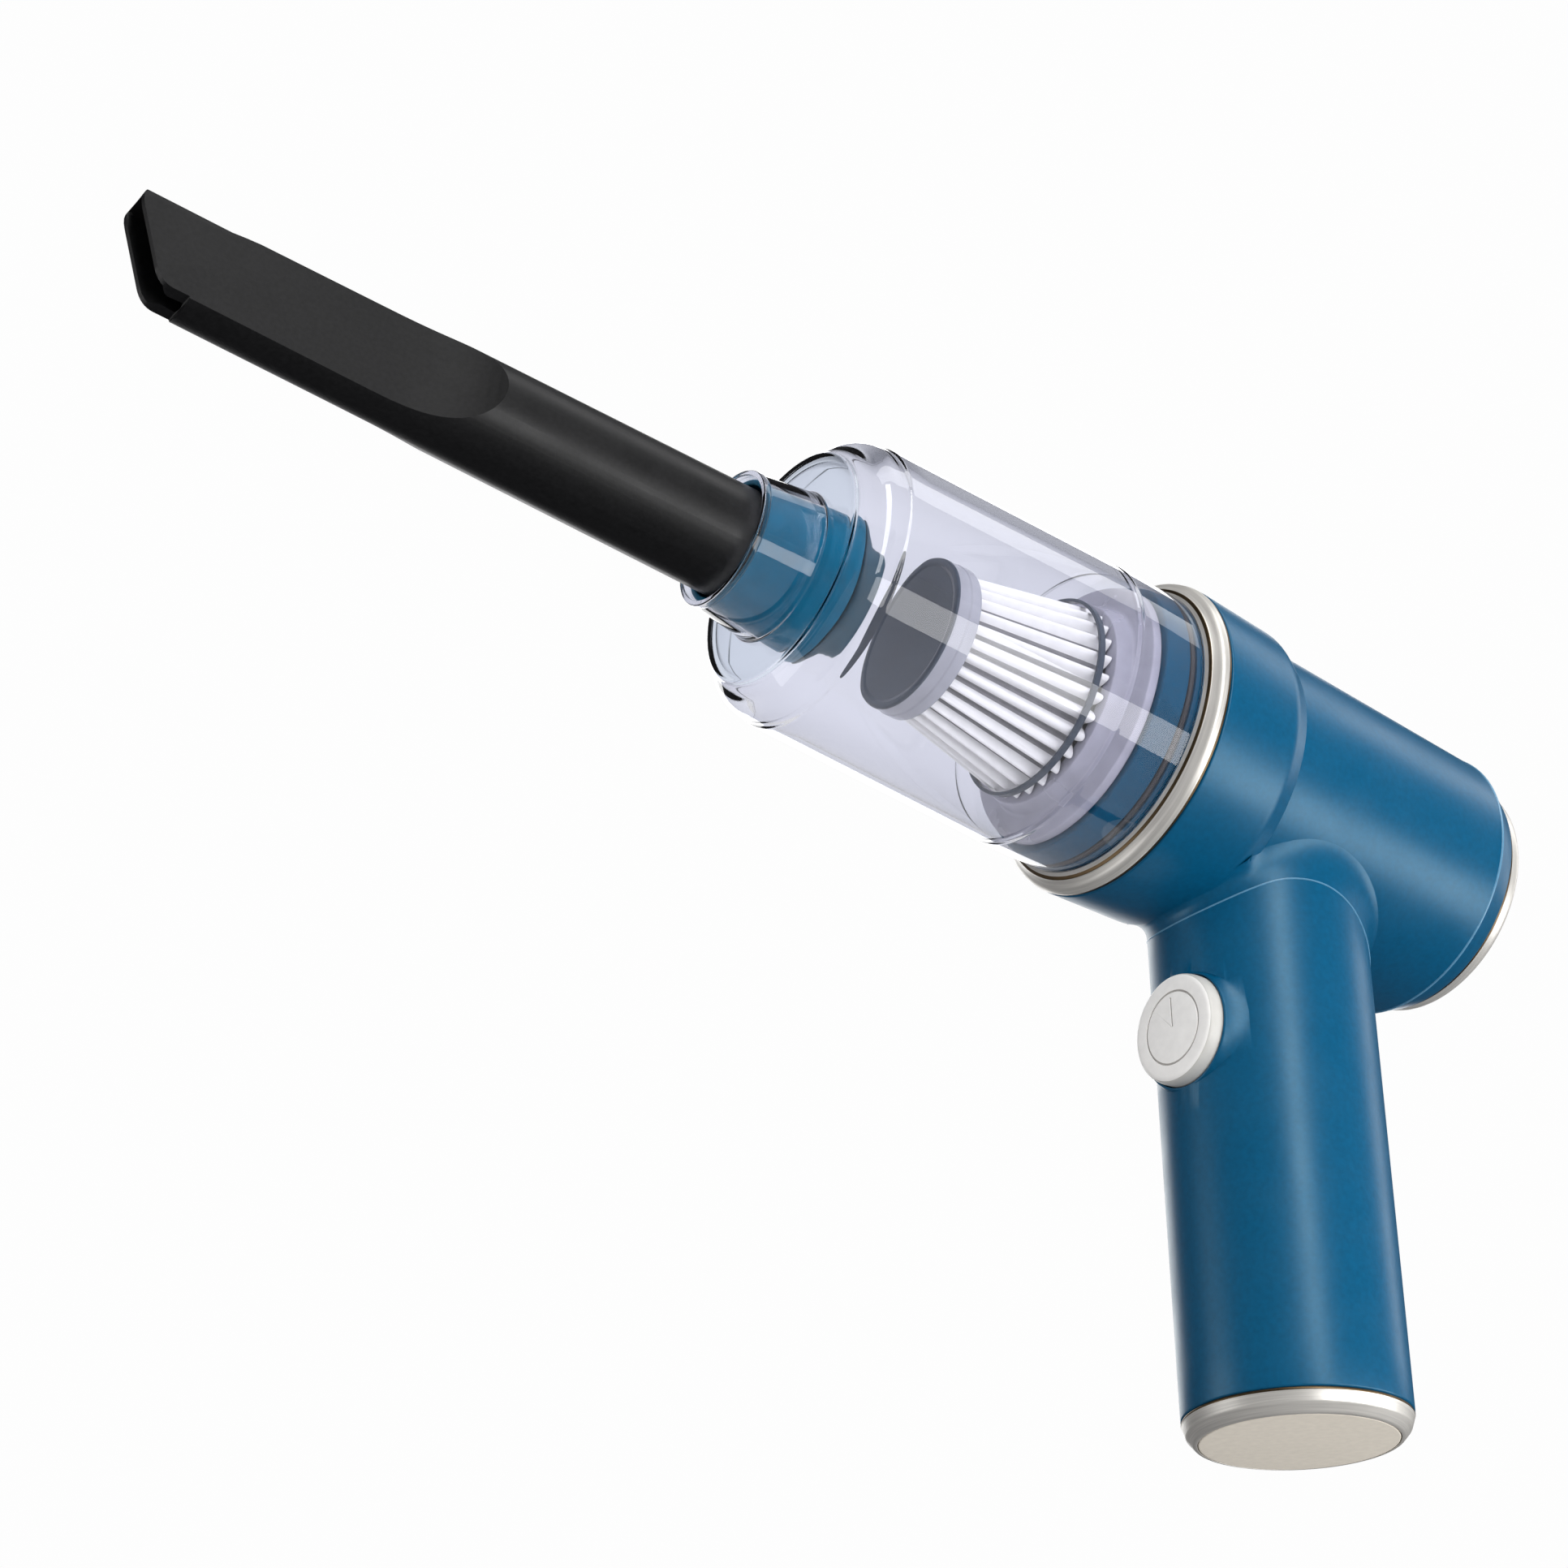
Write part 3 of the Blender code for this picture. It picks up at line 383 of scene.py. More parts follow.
# A darker copy of the button's colour for its rim: painted shade on the rounded edge.
BUTTON_RIM_PAINTED_SHADE = moulded("button_rim_painted_shade", (0.56, 0.55, 0.52), 0.42, grain=1500.0, strength=0.15, spread=0.03)
BUTTON_MARK = moulded("button_mark", (0.42, 0.40, 0.38), 0.5)
NOZZLE = moulded("black_nozzle", (0.007, 0.007, 0.0075), 0.42, grain=3200.0, strength=0.35, spread=0.25,
                 Specular_IOR_Level=0.32)
NOZZLE_FLAT = moulded("black_nozzle_flat", (0.007, 0.007, 0.0075), 0.62, grain=3200.0, strength=0.35,
                      spread=0.25, Specular_IOR_Level=0.24)
RUBBER = moulded("black_rubber", (0.015, 0.016, 0.02), 0.55, grain=1200.0)
# Darker grey paper for the pleat valleys: painted shade in the folds.
PAINTED_FOLD_SHADE = moulded("filter_fold_painted_shade", (0.26, 0.26, 0.27), 0.9, grain=1400.0)
PAPER = moulded("filter_paper", (0.78, 0.78, 0.78), 0.85, grain=1400.0, depth=0.08 * MM, strength=0.4,
                spread=0.04)
SMOKE = moulded("smoked_plastic", (0.045, 0.06, 0.085), 0.16, grain=300.0, strength=0.02, spread=0.08,
                Specular_IOR_Level=0.25, Transmission_Weight=0.2)
CLEAR = clear_plastic("clear_cup", (0.93, 0.93, 0.965), 0.01)
TUBE_END = moulded("tube_end", (0.008, 0.04, 0.065), 0.3, grain=1200.0)
# A darker copy of the housings' blue for the spigot: painted shade inside the cup.
SPIGOT_BLUE_PAINTED_SHADE = moulded("blue_spigot_painted_shade", (0.0, 0.055, 0.115), 0.35, Specular_IOR_Level=0.12)
# Blue-tinted clear plastic for the ring of the cup's front disc: a painted tint standing in for the blue
# inlet tube seen through the disc.
CLEAR_PAINTED_BLUE_REFRACTION = clear_plastic("clear_cup_front_painted_refraction", (0.80, 0.89, 0.94), 0.01)
SKIRT = moulded("cap_skirt", (0.40, 0.41, 0.46), 0.2, grain=500.0, strength=0.03, Transmission_Weight=0.3)
FROST = moulded("frosted_flange", (0.40, 0.40, 0.48), 0.25, grain=500.0, strength=0.03,
                Transmission_Weight=0.2)
STEEL = brushed("steel", (0.55, 0.56, 0.58), 0.35)
BRASS = brushed("bronze_bush", (0.5, 0.3, 0.12), 0.4)
INNER = moulded("inner_plastic", (0.03, 0.03, 0.032), 0.55)
FAN_WHITE = moulded("fan_plastic", (0.75, 0.75, 0.74), 0.45)
BOARD = moulded("circuit_board", (0.02, 0.16, 0.06), 0.4, grain=500.0, spread=0.3)
SLEEVE = moulded("cell_sleeve", (0.06, 0.3, 0.26), 0.3, grain=400.0)
RED = moulded("lead_red", (0.45, 0.02, 0.02), 0.5)


# ------------------------ barrel

def build_front_housing():
    """The larger blue front section, whose shoulder laps over the rear section."""
    span = Span("front_housing")
    shoulder_start = span.back + 2.6 * MM
    lap_back = span.back - 1.8 * MM
    lap_outer = 32.15 * MM
    lap_inner = 32.1 * MM
    points = [
        (span.outer, span.front, 0.6 * MM),
        (span.outer_at(span.back + 1.7 * MM), shoulder_start, 1.1 * MM),
        (lap_outer, lap_back, 0.2 * MM),
        (lap_inner, lap_back, 0.0),
        (lap_inner, span.back, 0.0),
        (span.inner, span.back, 0.0),
        (span.inner, span.front, 0.0),
    ]
    place(turned("front_housing_shell", points), "main_body", BLUE, "blue_shell", "front_housing")


def build_rear_housing():
    """The smaller blue rear section, with a bead where it turns in to the rear end, painted lighter as a
    highlight.
    """
    span = Span("rear_housing")
    edge = span.back + 5.6 * MM
    edge_radius = span.outer_at(edge)
    bead = 0.14 * MM
    shoulder_radius = 28.9 * MM
    end_radius = 27.6 * MM
    throat_radius = 28.2 * MM
    bore_radius = 29.7 * MM
    points = [
        (span.outer, span.front, 0.0),
        (edge_radius, edge + 0.5 * MM, 0.0),
        (edge_radius + bead, edge + 0.35 * MM, 0.0),
        (edge_radius + bead, edge, 0.12 * MM),
        (edge_radius - 0.5 * MM, edge - 0.3 * MM, 0.1 * MM),
        (shoulder_radius, edge - 3.0 * MM, 1.5 * MM),
        (end_radius, span.back, 0.3 * MM),
        (span.inner, span.back, 0.3 * MM),
        (span.inner, span.back + 2.3 * MM, 0.0),
        (throat_radius, edge + 1.0 * MM, 0.0),
        (bore_radius, span.front, 0.0),
    ]
    shell = place(turned("rear_housing_shell", points), "main_body", BLUE, "blue_shell", "rear_housing")
    # Painted highlight: the faces of the bead get the lighter blue.
    paint(shell, BLUE_PAINTED_HIGHLIGHT, lambda radius, height: radius > bore_radius + 0.1 * MM
          and abs(height - edge) < 0.45 * MM)


def build_trims():
    """The champagne rings between cup and barrel and at the rear end."""
    trim = Span("trim_ring")
    rim = trim.outer_at(trim.front)
    line_width = 0.45 * MM
    points = [
        (rim - 0.7 * MM, trim.front, 0.15 * MM),
        (rim, trim.front - 0.25 * MM, 0.15 * MM),
        (rim + 0.25 * MM, trim.front - 0.6 * MM, 0.0),
        (trim.outer - 0.35 * MM, trim.front - 1.7 * MM, 0.9 * MM),
        (trim.outer, trim.back + 0.7 * MM, 0.2 * MM),
        (trim.outer - 0.15 * MM, trim.back - 0.1 * MM, 0.1 * MM),
        (trim.inner, trim.back - 0.1 * MM, 0.0),
        (trim.inner, trim.front, 0.0),
    ]
    ring = place(turned("cup_trim_ring", points), "main_body", CHAMPAGNE, "champagne_trim", "trim_ring")
    paint(ring, BRONZE_LINE, lambda radius, height: height < trim.back + line_width or (
        height > trim.front - line_width and radius > rim - 0.6 * MM))
    rear = Span("rear_trim_ring")
    rear_line_width = 0.6 * MM
    points = [
        (rear.outer - 0.3 * MM, rear.front, 0.15 * MM),
        (rear.outer - 0.4 * MM, rear.front - 0.7 * MM, 0.1 * MM),
        (rear.outer - 0.5 * MM, rear.front - 2.6 * MM, 0.9 * MM),
        (rear.outer_at(rear.back) + 0.8 * MM, rear.back, 0.9 * MM),
        (rear.inner, rear.back, 0.4 * MM),
        (rear.inner, rear.front, 0.0),
    ]
    ring = place(turned("rear_ring", points), "main_body", CHAMPAGNE, "champagne_trim", "rear_trim_ring")
    paint(ring, BRONZE_LINE, lambda radius, height: height > rear.front - rear_line_width)


def build_grille():
    """The exhaust grille with two rows of radial slots."""
    span = Span("exhaust_grille")
    middle = 0.5 * (span.back + span.front)
    slot_width = 1.5 * MM
    slot_depth = 12.0 * MM
    points = [
        (0.0, span.front, 0.0),
        (span.outer, span.front, 0.0),
        (span.outer, span.back, 0.4 * MM),
        (0.0, span.back, 0.0),
    ]
    disc = turned("grille_disc", points)
    tools = []
    rows = ((8.0 * MM, 7.0 * MM, 16), (17.0 * MM, 8.0 * MM, 32))
    for row, (radius, length, count) in enumerate(rows):
        builder = bmesh.new()
        for index in range(count):
            turn = Matrix.Rotation(2.0 * pi * (index + 0.5) / count, 4, "Z")
            size = Matrix.Diagonal((length, slot_width, slot_depth, 1.0))
            where = Matrix.Translation((radius, 0.0, middle))
            bmesh.ops.create_cube(builder, size=1.0, matrix=turn @ where @ size)
        tools.append(from_builder(f"slots_{row}", builder, BARREL))
    cut(disc, tools)
    soften(disc, 0.2 * MM)
    place(disc, "main_body", BLUE, "blue_shell", "exhaust_grille")


def build_spigot():
    """The blue spigot seen through the rear of the cup, with its seal."""
    span = Span("cup_spigot")
    seal = Span("cup_seal")
    play = 0.25 * MM
    groove_back = seal.back - play
    groove_front = seal.front + play
    groove_floor = seal.inner - 0.1 * MM
    radius = span.outer_at(span.front)
    collar_front = 36.0 * MM
    bore_radius = 27.6 * MM
    lip_back = span.front - 2.2 * MM
    points = [
        (radius, span.front, 0.5 * MM),
        (radius, groove_front, 0.15 * MM),
        (groove_floor, groove_front, 0.0),
        (groove_floor, groove_back, 0.0),
        (radius, groove_back, 0.15 * MM),
        (radius, collar_front, 0.0),
        (span.outer, collar_front - 0.4 * MM, 0.0),
        (span.outer, span.back, 0.0),
        (bore_radius, span.back, 0.0),
        (bore_radius, lip_back, 0.0),
        (span.inner, lip_back, 0.2 * MM),
        (span.inner, span.front, 0.3 * MM),
    ]
    # Painted shade: the spigot gets the darker copy of the housings' blue.
    place(turned("spigot", points), "main_body", SPIGOT_BLUE_PAINTED_SHADE, "blue_shell", "cup_spigot")
    middle = 0.5 * (seal.back + seal.front)
    centre = 0.5 * (seal.inner + seal.outer)
    cord = 0.5 * (seal.outer - seal.inner)
    turns = [pi * step / 8 for step in range(16)]
    points = [(centre + cord * cos(turn), middle - cord * sin(turn), 0.0) for turn in turns]
    place(turned("seal_ring", points), "main_body", RUBBER, "black_rubber", "cup_seal")


# ------------------------ dust cup

def build_cup():
    """The clear cup with its collar, flat front, rounded shoulder and inner step."""
    span = Span("dust_cup")
    wall = 1.9 * MM
    disc = span.front - 13.9 * MM
    disc_hub = 16.5 * MM
    disc_radius = 24.9 * MM
    shoulder_radius = 29.6 * MM
    front_radius = 30.7 * MM
    step = span.back + 16.0 * MM
    bore = span.inner_at(span.back)
    collar = span.outer_at(span.front)
    collar_bore = span.inner_at(span.front)
    inner_disc = disc - wall
    inner_disc_radius = 24.6 * MM
    inner_shoulder_radius = 28.0 * MM
    foot_bore = span.inner_at(inner_disc, 0.8 * MM)
    points = [
        (collar, span.front, 0.35 * MM),
        (collar + 0.1 * MM, span.front - 1.2 * MM, 0.2 * MM),
        (collar - 0.1 * MM, span.front - 1.6 * MM, 0.2 * MM),
        (collar + 1.6 * MM, disc + 0.1 * MM, 0.5 * MM),
        (disc_radius, disc, 0.5 * MM),
        (disc_radius + 0.5 * MM, disc - 0.7 * MM, 0.3 * MM),
        (shoulder_radius, disc - 4.6 * MM, 4.5 * MM),
        (front_radius - 0.35 * MM, disc - 9.2 * MM, 0.3 * MM),
        (front_radius, disc - 9.9 * MM, 0.3 * MM),
        (front_radius + 0.1 * MM, disc - 16.0 * MM, 3.0 * MM),
        (span.outer - 0.2 * MM, step + 0.6 * MM, 0.3 * MM),
        (span.outer, step, 0.3 * MM),
        (span.outer, span.back, 0.4 * MM),
        (bore, span.back, 0.3 * MM),
        (bore, step, 0.3 * MM),
        (bore - 0.7 * MM, step + 0.7 * MM, 0.3 * MM),
        (front_radius - wall - 0.2 * MM, disc - 13.0 * MM, 3.0 * MM),
        (inner_shoulder_radius, disc - 7.5 * MM, 3.0 * MM),
        (inner_disc_radius, inner_disc, 3.0 * MM),
        (foot_bore, inner_disc, 0.3 * MM),
        (collar_bore, span.front, 0.3 * MM),
    ]
    shell = place(turned("cup_shell", points), "cup", CLEAR, "clear_cup", "dust_cup")
    # Painted refraction: the ring of the front disc in front of the blue tube gets the blue-tinted clear
    # plastic.
    paint(shell, CLEAR_PAINTED_BLUE_REFRACTION, lambda radius, height: disc_hub < radius < disc_radius
          and abs(height - disc) < 0.6 * MM)
    build_inlet(disc)


def build_inlet(disc):
    """The blue tube in the cup's collar, widest behind the cup's front disc, and its dark inner rim."""
    span = Span("inlet_tube")
    front_radius = span.outer_at(span.front)
    entry_length = 12.8 * MM
    points = [
        (front_radius, span.front, 0.3 * MM),
        (front_radius + 1.0 * MM, disc + 1.2 * MM, 0.2 * MM),
        (span.outer, span.back, 0.4 * MM),
        (span.outer - 1.4 * MM, span.back, 0.2 * MM),
        (span.inner, span.back + entry_length, 1.0 * MM),
        (span.inner, span.front, 0.3 * MM),
    ]
    place(turned("inlet_pipe", points), "cup", TUBE_BLUE, "blue_tube", "inlet_tube")
    rim = Span("inlet_gasket")
    points = [
        (rim.outer, rim.front, 0.6 * MM),
        (rim.outer, rim.back, 1.1 * MM),
        (rim.inner, rim.back, 0.8 * MM),
        (rim.inner, rim.front, 0.2 * MM),
    ]
    place(turned("inlet_rim", points), "cup", TUBE_END, "black_rubber", "inlet_gasket")


# ------------------------ filter

PLEAT_COUNT = 30
STEPS_PER_PLEAT = 12
PLEAT_LEVELS = 10
PLEAT_DEPTH_BACK = 3.2 * MM
PLEAT_DEPTH_FRONT = 2.0 * MM
PLEAT_SHARPNESS = 1.3
PAPER_THICKNESS = 0.7 * MM
# Share of the pleat depth, from the tip, beyond which the paper is painted darker as shade.
FOLD_SHADE_SHARE = 0.55


def pleat_outline(height, tip, depth, inset):
    """One ring of rounded pleats: tips and valleys about the axis."""
    points = []
    for index in range(PLEAT_COUNT * STEPS_PER_PLEAT):
        angle = 2 * pi * index / (PLEAT_COUNT * STEPS_PER_PLEAT)
        phase = (index % STEPS_PER_PLEAT) / STEPS_PER_PLEAT
        wave = 0.5 - 0.5 * cos(2 * pi * phase)
        radius = tip - inset - depth * (1.0 - wave) ** PLEAT_SHARPNESS
        points.append((radius * cos(angle), radius * sin(angle), height))
    return points


def build_pleats():
    """The pleated paper cone, open at both ends, with painted shade deep in the folds: a darker paper colour
    on the faces there.
    """
    span = Span("filter_pleats")
    back_tip = span.outer
    front_tip = span.outer_at(span.front)

    def pleat_at(share):
        tip = back_tip + share * (front_tip - back_tip)
        return tip, PLEAT_DEPTH_BACK + share * (PLEAT_DEPTH_FRONT - PLEAT_DEPTH_BACK)

    def in_painted_fold_shade(radius, height):
        tip, depth = pleat_at((height - span.back) / (span.front - span.back))
        return radius < tip - FOLD_SHADE_SHARE * depth

    outside = []
    inside = []
    for level in range(PLEAT_LEVELS + 1):
        share = level / PLEAT_LEVELS
        height = span.back + share * (span.front - span.back)
        tip, depth = pleat_at(share)
        outside.append(pleat_outline(height, tip, depth, 0.0))
        inside.append(pleat_outline(height, tip, depth, PAPER_THICKNESS))
    pleats = lofted("pleated_cone", outside + inside[::-1], BARREL)
    place(pleats, "filter", PAPER, "filter_paper", "filter_pleats")
    # Painted shade: faces deep in the folds get the darker paper colour.
    paint(pleats, PAINTED_FOLD_SHADE, in_painted_fold_shade)


def build_filter_flange():
    """The frosted flange at the filter's rear, with a sleeve that goes into the spigot."""
    span = Span("filter_flange")
    rim_front = 52.0 * MM
    rim_back = 49.9 * MM
    hub_outer = 22.4 * MM
    hub_inner = 19.0 * MM
    sleeve_radius = 17.7 * MM
    points = [
        (hub_outer, span.front, 0.3 * MM),
        (hub_outer + 1.0 * MM, rim_front + 0.6 * MM, 0.8 * MM),
        (span.outer, rim_front, 0.4 * MM),
        (span.outer, rim_back, 0.4 * MM),
        (sleeve_radius, rim_back, 0.2 * MM),
        (sleeve_radius, span.back, 0.3 * MM),
        (span.inner, span.back, 0.3 * MM),
        (span.inner, rim_front, 0.3 * MM),
        (hub_inner, span.front, 0.3 * MM),
    ]
    place(turned("filter_rear_flange", points), "filter", FROST, "filter_frame", "filter_flange")


def build_filter_band():
    """The thin smoked band round the pleats."""
    span = Span("filter_band")
    points = [
        (span.outer, span.front, 0.2 * MM),
        (span.outer, span.back, 0.2 * MM),
        (span.inner, span.back, 0.1 * MM),
        (span.inner, span.front, 0.1 * MM),
    ]
    place(turned("pleat_band", points), "filter", SMOKE, "filter_frame", "filter_band")


def build_filter_cap():
    """The smoked cap in front of the pleats, with a raised rim and a paler skirt."""
    span = Span("filter_cap")
    face = span.front - 0.35 * MM
    inside = span.front - 1.9 * MM
    points = [
        (0.0, face, 0.0),
        (span.outer - 2.2 * MM, face, 0.2 * MM),
        (span.outer - 1.6 * MM, span.front, 0.3 * MM),
        (span.outer - 0.2 * MM, span.front, 0.6 * MM),
        (span.outer - 0.2 * MM, span.front - 3.2 * MM, 0.2 * MM),
        (span.outer, span.front - 3.5 * MM, 0.2 * MM),
        (span.outer, span.back, 0.3 * MM),
        (span.outer - 1.1 * MM, span.back, 0.3 * MM),
        (span.outer - 1.4 * MM, inside, 0.3 * MM),
        (0.0, inside, 0.0),
    ]
    cap = place(turned("filter_front_cap", points), "filter", SMOKE, "filter_frame", "filter_cap")
    paint(cap, SKIRT, lambda radius, height: radius > span.outer - 1.6 * MM
          and height < span.front - 0.7 * MM)


# ------------------------ nozzle

NOZZLE_WALL = 1.2 * MM
FLAT_HALF_WIDTH = 4.3 * MM
FLAT_START = 194.0 * MM
FLAT_RUN_OUT = 26.0 * MM
FLAT_CURVE = 3.2
FLAT_INSET_SHARE = 0.6
CORNER_RADIUS = 2.3 * MM
CORNER_START = 204.0 * MM
CORNER_FULL = 250.0 * MM
CORNER_RUN_IN = 3.0 * MM
NOZZLE_TIP_RADIUS = 10.1 * MM
TOOL_REACH = 40.0 * MM
MOUTH_SLANT = 0.45
MOUTH_LENGTH = 14.0 * MM
NOTCH_START = 254.6 * MM
NOTCH_FLOOR = -8.9 * MM
BEND_START = 140.0 * MM
BEND_SLOPE = 0.0085


def prism(name, outline, matrix):
    """A prism with an outline in a frame's XY plane, reaching as far below the plane as above it."""
    ends = (-TOOL_REACH, TOOL_REACH)
    return capped(name, [[(first, second, depth) for first, second in outline] for depth in ends], matrix)


def flat_tools(radius, inset, far):
    """Two prisms that press flats into both sides of the nozzle, with a scooped run-out."""
    steps = 16
    start = FLAT_START + inset * FLAT_INSET_SHARE
    line = []
    for step in range(steps + 1):
        share = step / steps
        scoop = (radius - FLAT_HALF_WIDTH) * (1.0 - share) ** FLAT_CURVE
        line.append((start + FLAT_RUN_OUT * share, FLAT_HALF_WIDTH - inset + scoop))
    line += [(far, FLAT_HALF_WIDTH - inset), (far, TOOL_REACH), (start - 8.0 * MM, TOOL_REACH)]
    tools = []
    for side in (-1.0, 1.0):
        axes = Matrix(((0.0, 0.0, 1.0), (0.0, side, 0.0), (1.0, 0.0, 0.0))).to_4x4()
        tools.append(prism(f"flat_{side:+.0f}", line, BARREL @ axes))
    return tools


def corner_tools(inset, far):
    """Two tools that round the upper edges of the flats near the tip."""
    radius = CORNER_RADIUS - inset
    steps = 8
    turns = [0.5 * pi * step / steps for step in range(steps + 1)]
    reach = 12.0 * MM
    tools = []
    for side in (-1.0, 1.0):
        rings = []
        for height, shift in ((CORNER_START, CORNER_RUN_IN), (CORNER_FULL, 0.0), (far, 0.0)):
            centre_up = NOZZLE_TIP_RADIUS - CORNER_RADIUS + shift
            centre_side = FLAT_HALF_WIDTH - CORNER_RADIUS + shift
            outline = [(centre_up + radius * sin(turn), centre_side + radius * cos(turn)) for turn in turns]
            outline += [(centre_up + reach, centre_side), (centre_up + reach, reach), (centre_up, reach)]
            rings.append([(up, side * across, height) for up, across in outline])
        tools.append(capped(f"corner_{side:+.0f}", rings, BARREL))
    return tools


def mouth_tool(tip):
    """One prism that cuts the slanted mouth, with rounded corners, and the notch under it."""
    far = tip + TOOL_REACH
    foot = tip - MOUTH_SLANT * (NOZZLE_TIP_RADIUS - NOTCH_FLOOR)
    top = NOZZLE_TIP_RADIUS + 0.3 * MM
    corners = [
        (-TOOL_REACH, NOTCH_START, 0.0),
        (NOTCH_FLOOR, NOTCH_START, 0.4 * MM),
        (NOTCH_FLOOR, foot, 3.4 * MM),
        (top, tip + MOUTH_SLANT * (top - NOZZLE_TIP_RADIUS), 5.6 * MM),
        (top, tip - MOUTH_LENGTH, 0.0),
        (TOOL_REACH, tip - MOUTH_LENGTH, 0.0),
        (TOOL_REACH, far, 0.0),
        (-TOOL_REACH, far, 0.0),
    ]
    axes = Matrix(((1.0, 0.0, 0.0), (0.0, 0.0, 1.0), (0.0, 1.0, 0.0))).to_4x4()
    return prism("mouth", rounded(corners, 8), BARREL @ axes)


def build_nozzle():
    """The crevice nozzle: tapered tube, flats on both sides, slanted mouth open at its lower corner."""
    span = Span("crevice_nozzle")
    tip = span.front
    back_radius = span.outer_at(span.back)
    over = 12.0 * MM
    slope = (back_radius - NOZZLE_TIP_RADIUS) / (tip - span.back)
    flat_radius = back_radius - slope * (FLAT_START - span.back)

    def solid(name, inset, back, far):
        """A tapered rod with the nozzle's flats and rounded corners, inset all round."""
        points = [
            (0.0, far, 0.0),
            (back_radius - slope * (far - span.back) - inset, far, 0.0),
            (back_radius - slope * (back - span.back) - inset, back, 0.0),
            (0.0, back, 0.0),
        ]
        rod = turned(name, points)
        cut(rod, flat_tools(flat_radius, inset, tip + 2 * over) + corner_tools(inset, tip + 2 * over))
        return rod

    body = solid("nozzle_shell", 0.0, span.back, tip + over)
    cut(body, [solid("nozzle_bore", NOZZLE_WALL, span.back - over, tip + 1.5 * over)])
    cut(body, [mouth_tool(tip)])
    soften(body, 0.25 * MM, 3, 14.0)
    for vertex in body.data.vertices:
        vertex.co.x -= BEND_SLOPE * max(0.0, vertex.co.z - BEND_START)
    place(body, "nozzle", NOZZLE, "black_nozzle", "crevice_nozzle")
    dull_flats(body)


def dull_flats(nozzle):
    """Give the outsides of the nozzle's flats a duller finish."""
    steepest = 0.75
    outside = 3.5 * MM
    nozzle.data.materials.append(NOZZLE_FLAT)
    for polygon in nozzle.data.polygons:
        across = polygon.center.y
        faces_side = abs(polygon.normal.y) > steepest and polygon.normal.y * across > 0.0
        if faces_side and abs(across) > outside and polygon.center.z > FLAT_START:
            polygon.material_index = len(nozzle.data.materials) - 1


# ------------------------ grip

SEAM_BLEND = 16.0 * MM
SEAM_HEIGHT = 0.16 * MM
SEAM_DROP = 6.2 * MM
SEAM_TILT = 3.3 * MM
GRIP_LOW, GRIP_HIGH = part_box("handle_shell")
GRIP_LOW_RADIUS = 22.8 * MM
GRIP_TOP = 127.0 * MM
GRIP_WALL = 2.2 * MM
GRIP_STEPS = 160
FOOT_RINGS = 4
GRIP_LEVELS = 12
SEAM_BANDS = 3
BUTTON_RADIUS = 11.6 * MM
BUTTON_LOW, BUTTON_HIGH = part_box("power_button")
BUTTON_LEVEL = 0.5 * (BUTTON_LOW.z + BUTTON_HIGH.z)


def barrel_radius(distance, blend_length=2.6 * MM):
    """Outer radius of the housings at a distance forward, with the step between them smoothed."""
    step = 14.6 * MM
    rear_top, rear_radius, rear_slope = 14.0 * MM, 32.0 * MM, 1.5 / 61.2
    front_foot, front_radius, front_slope = 16.0 * MM, 34.5 * MM, 0.9 / 20.0
    blend = min(1.0, max(0.0, (distance - step) / blend_length + 0.5))
    rear = rear_radius + (distance - rear_top) * rear_slope
    front = front_radius + (distance - front_foot) * front_slope
    smooth = blend * blend * (3 - 2 * blend)
    return rear + smooth * (front - rear)


def saddle_height(x, y):
    """Height at which a vertical line meets the underside of the barrel."""
    height = BARREL_POINT.z - 20.0 * MM
    for _ in range(30):
        local = TO_BARREL @ Vector((x, y, height))
        radius = sqrt(local.x ** 2 + local.y ** 2)
        height += (radius - barrel_radius(local.z, SEAM_BLEND)) * 0.8
    return height


def barrel_normal(point):
    """Outward direction of the barrel's surface at a point."""
    local = TO_BARREL @ point
    flat = Vector((local.x, local.y, 0.0)).normalized()
    return (BARREL.to_3x3() @ flat).normalized()


def on_barrel(point, lift):
    """A point moved along its radius of the barrel to a lift above the housings' surface."""
    local = TO_BARREL @ point
    flat = Vector((local.x, local.y, 0.0)).normalized() * (barrel_radius(local.z) + lift)
    return BARREL @ Vector((flat.x, flat.y, local.z))


def grip_radius(height):
    """Radius of the grip's outside at a height."""
    share = (height - GRIP_LOW.z) / (GRIP_TOP - GRIP_LOW.z)
    return GRIP_LOW_RADIUS + share * (GRIP_HIGH.y - GRIP_LOW_RADIUS)


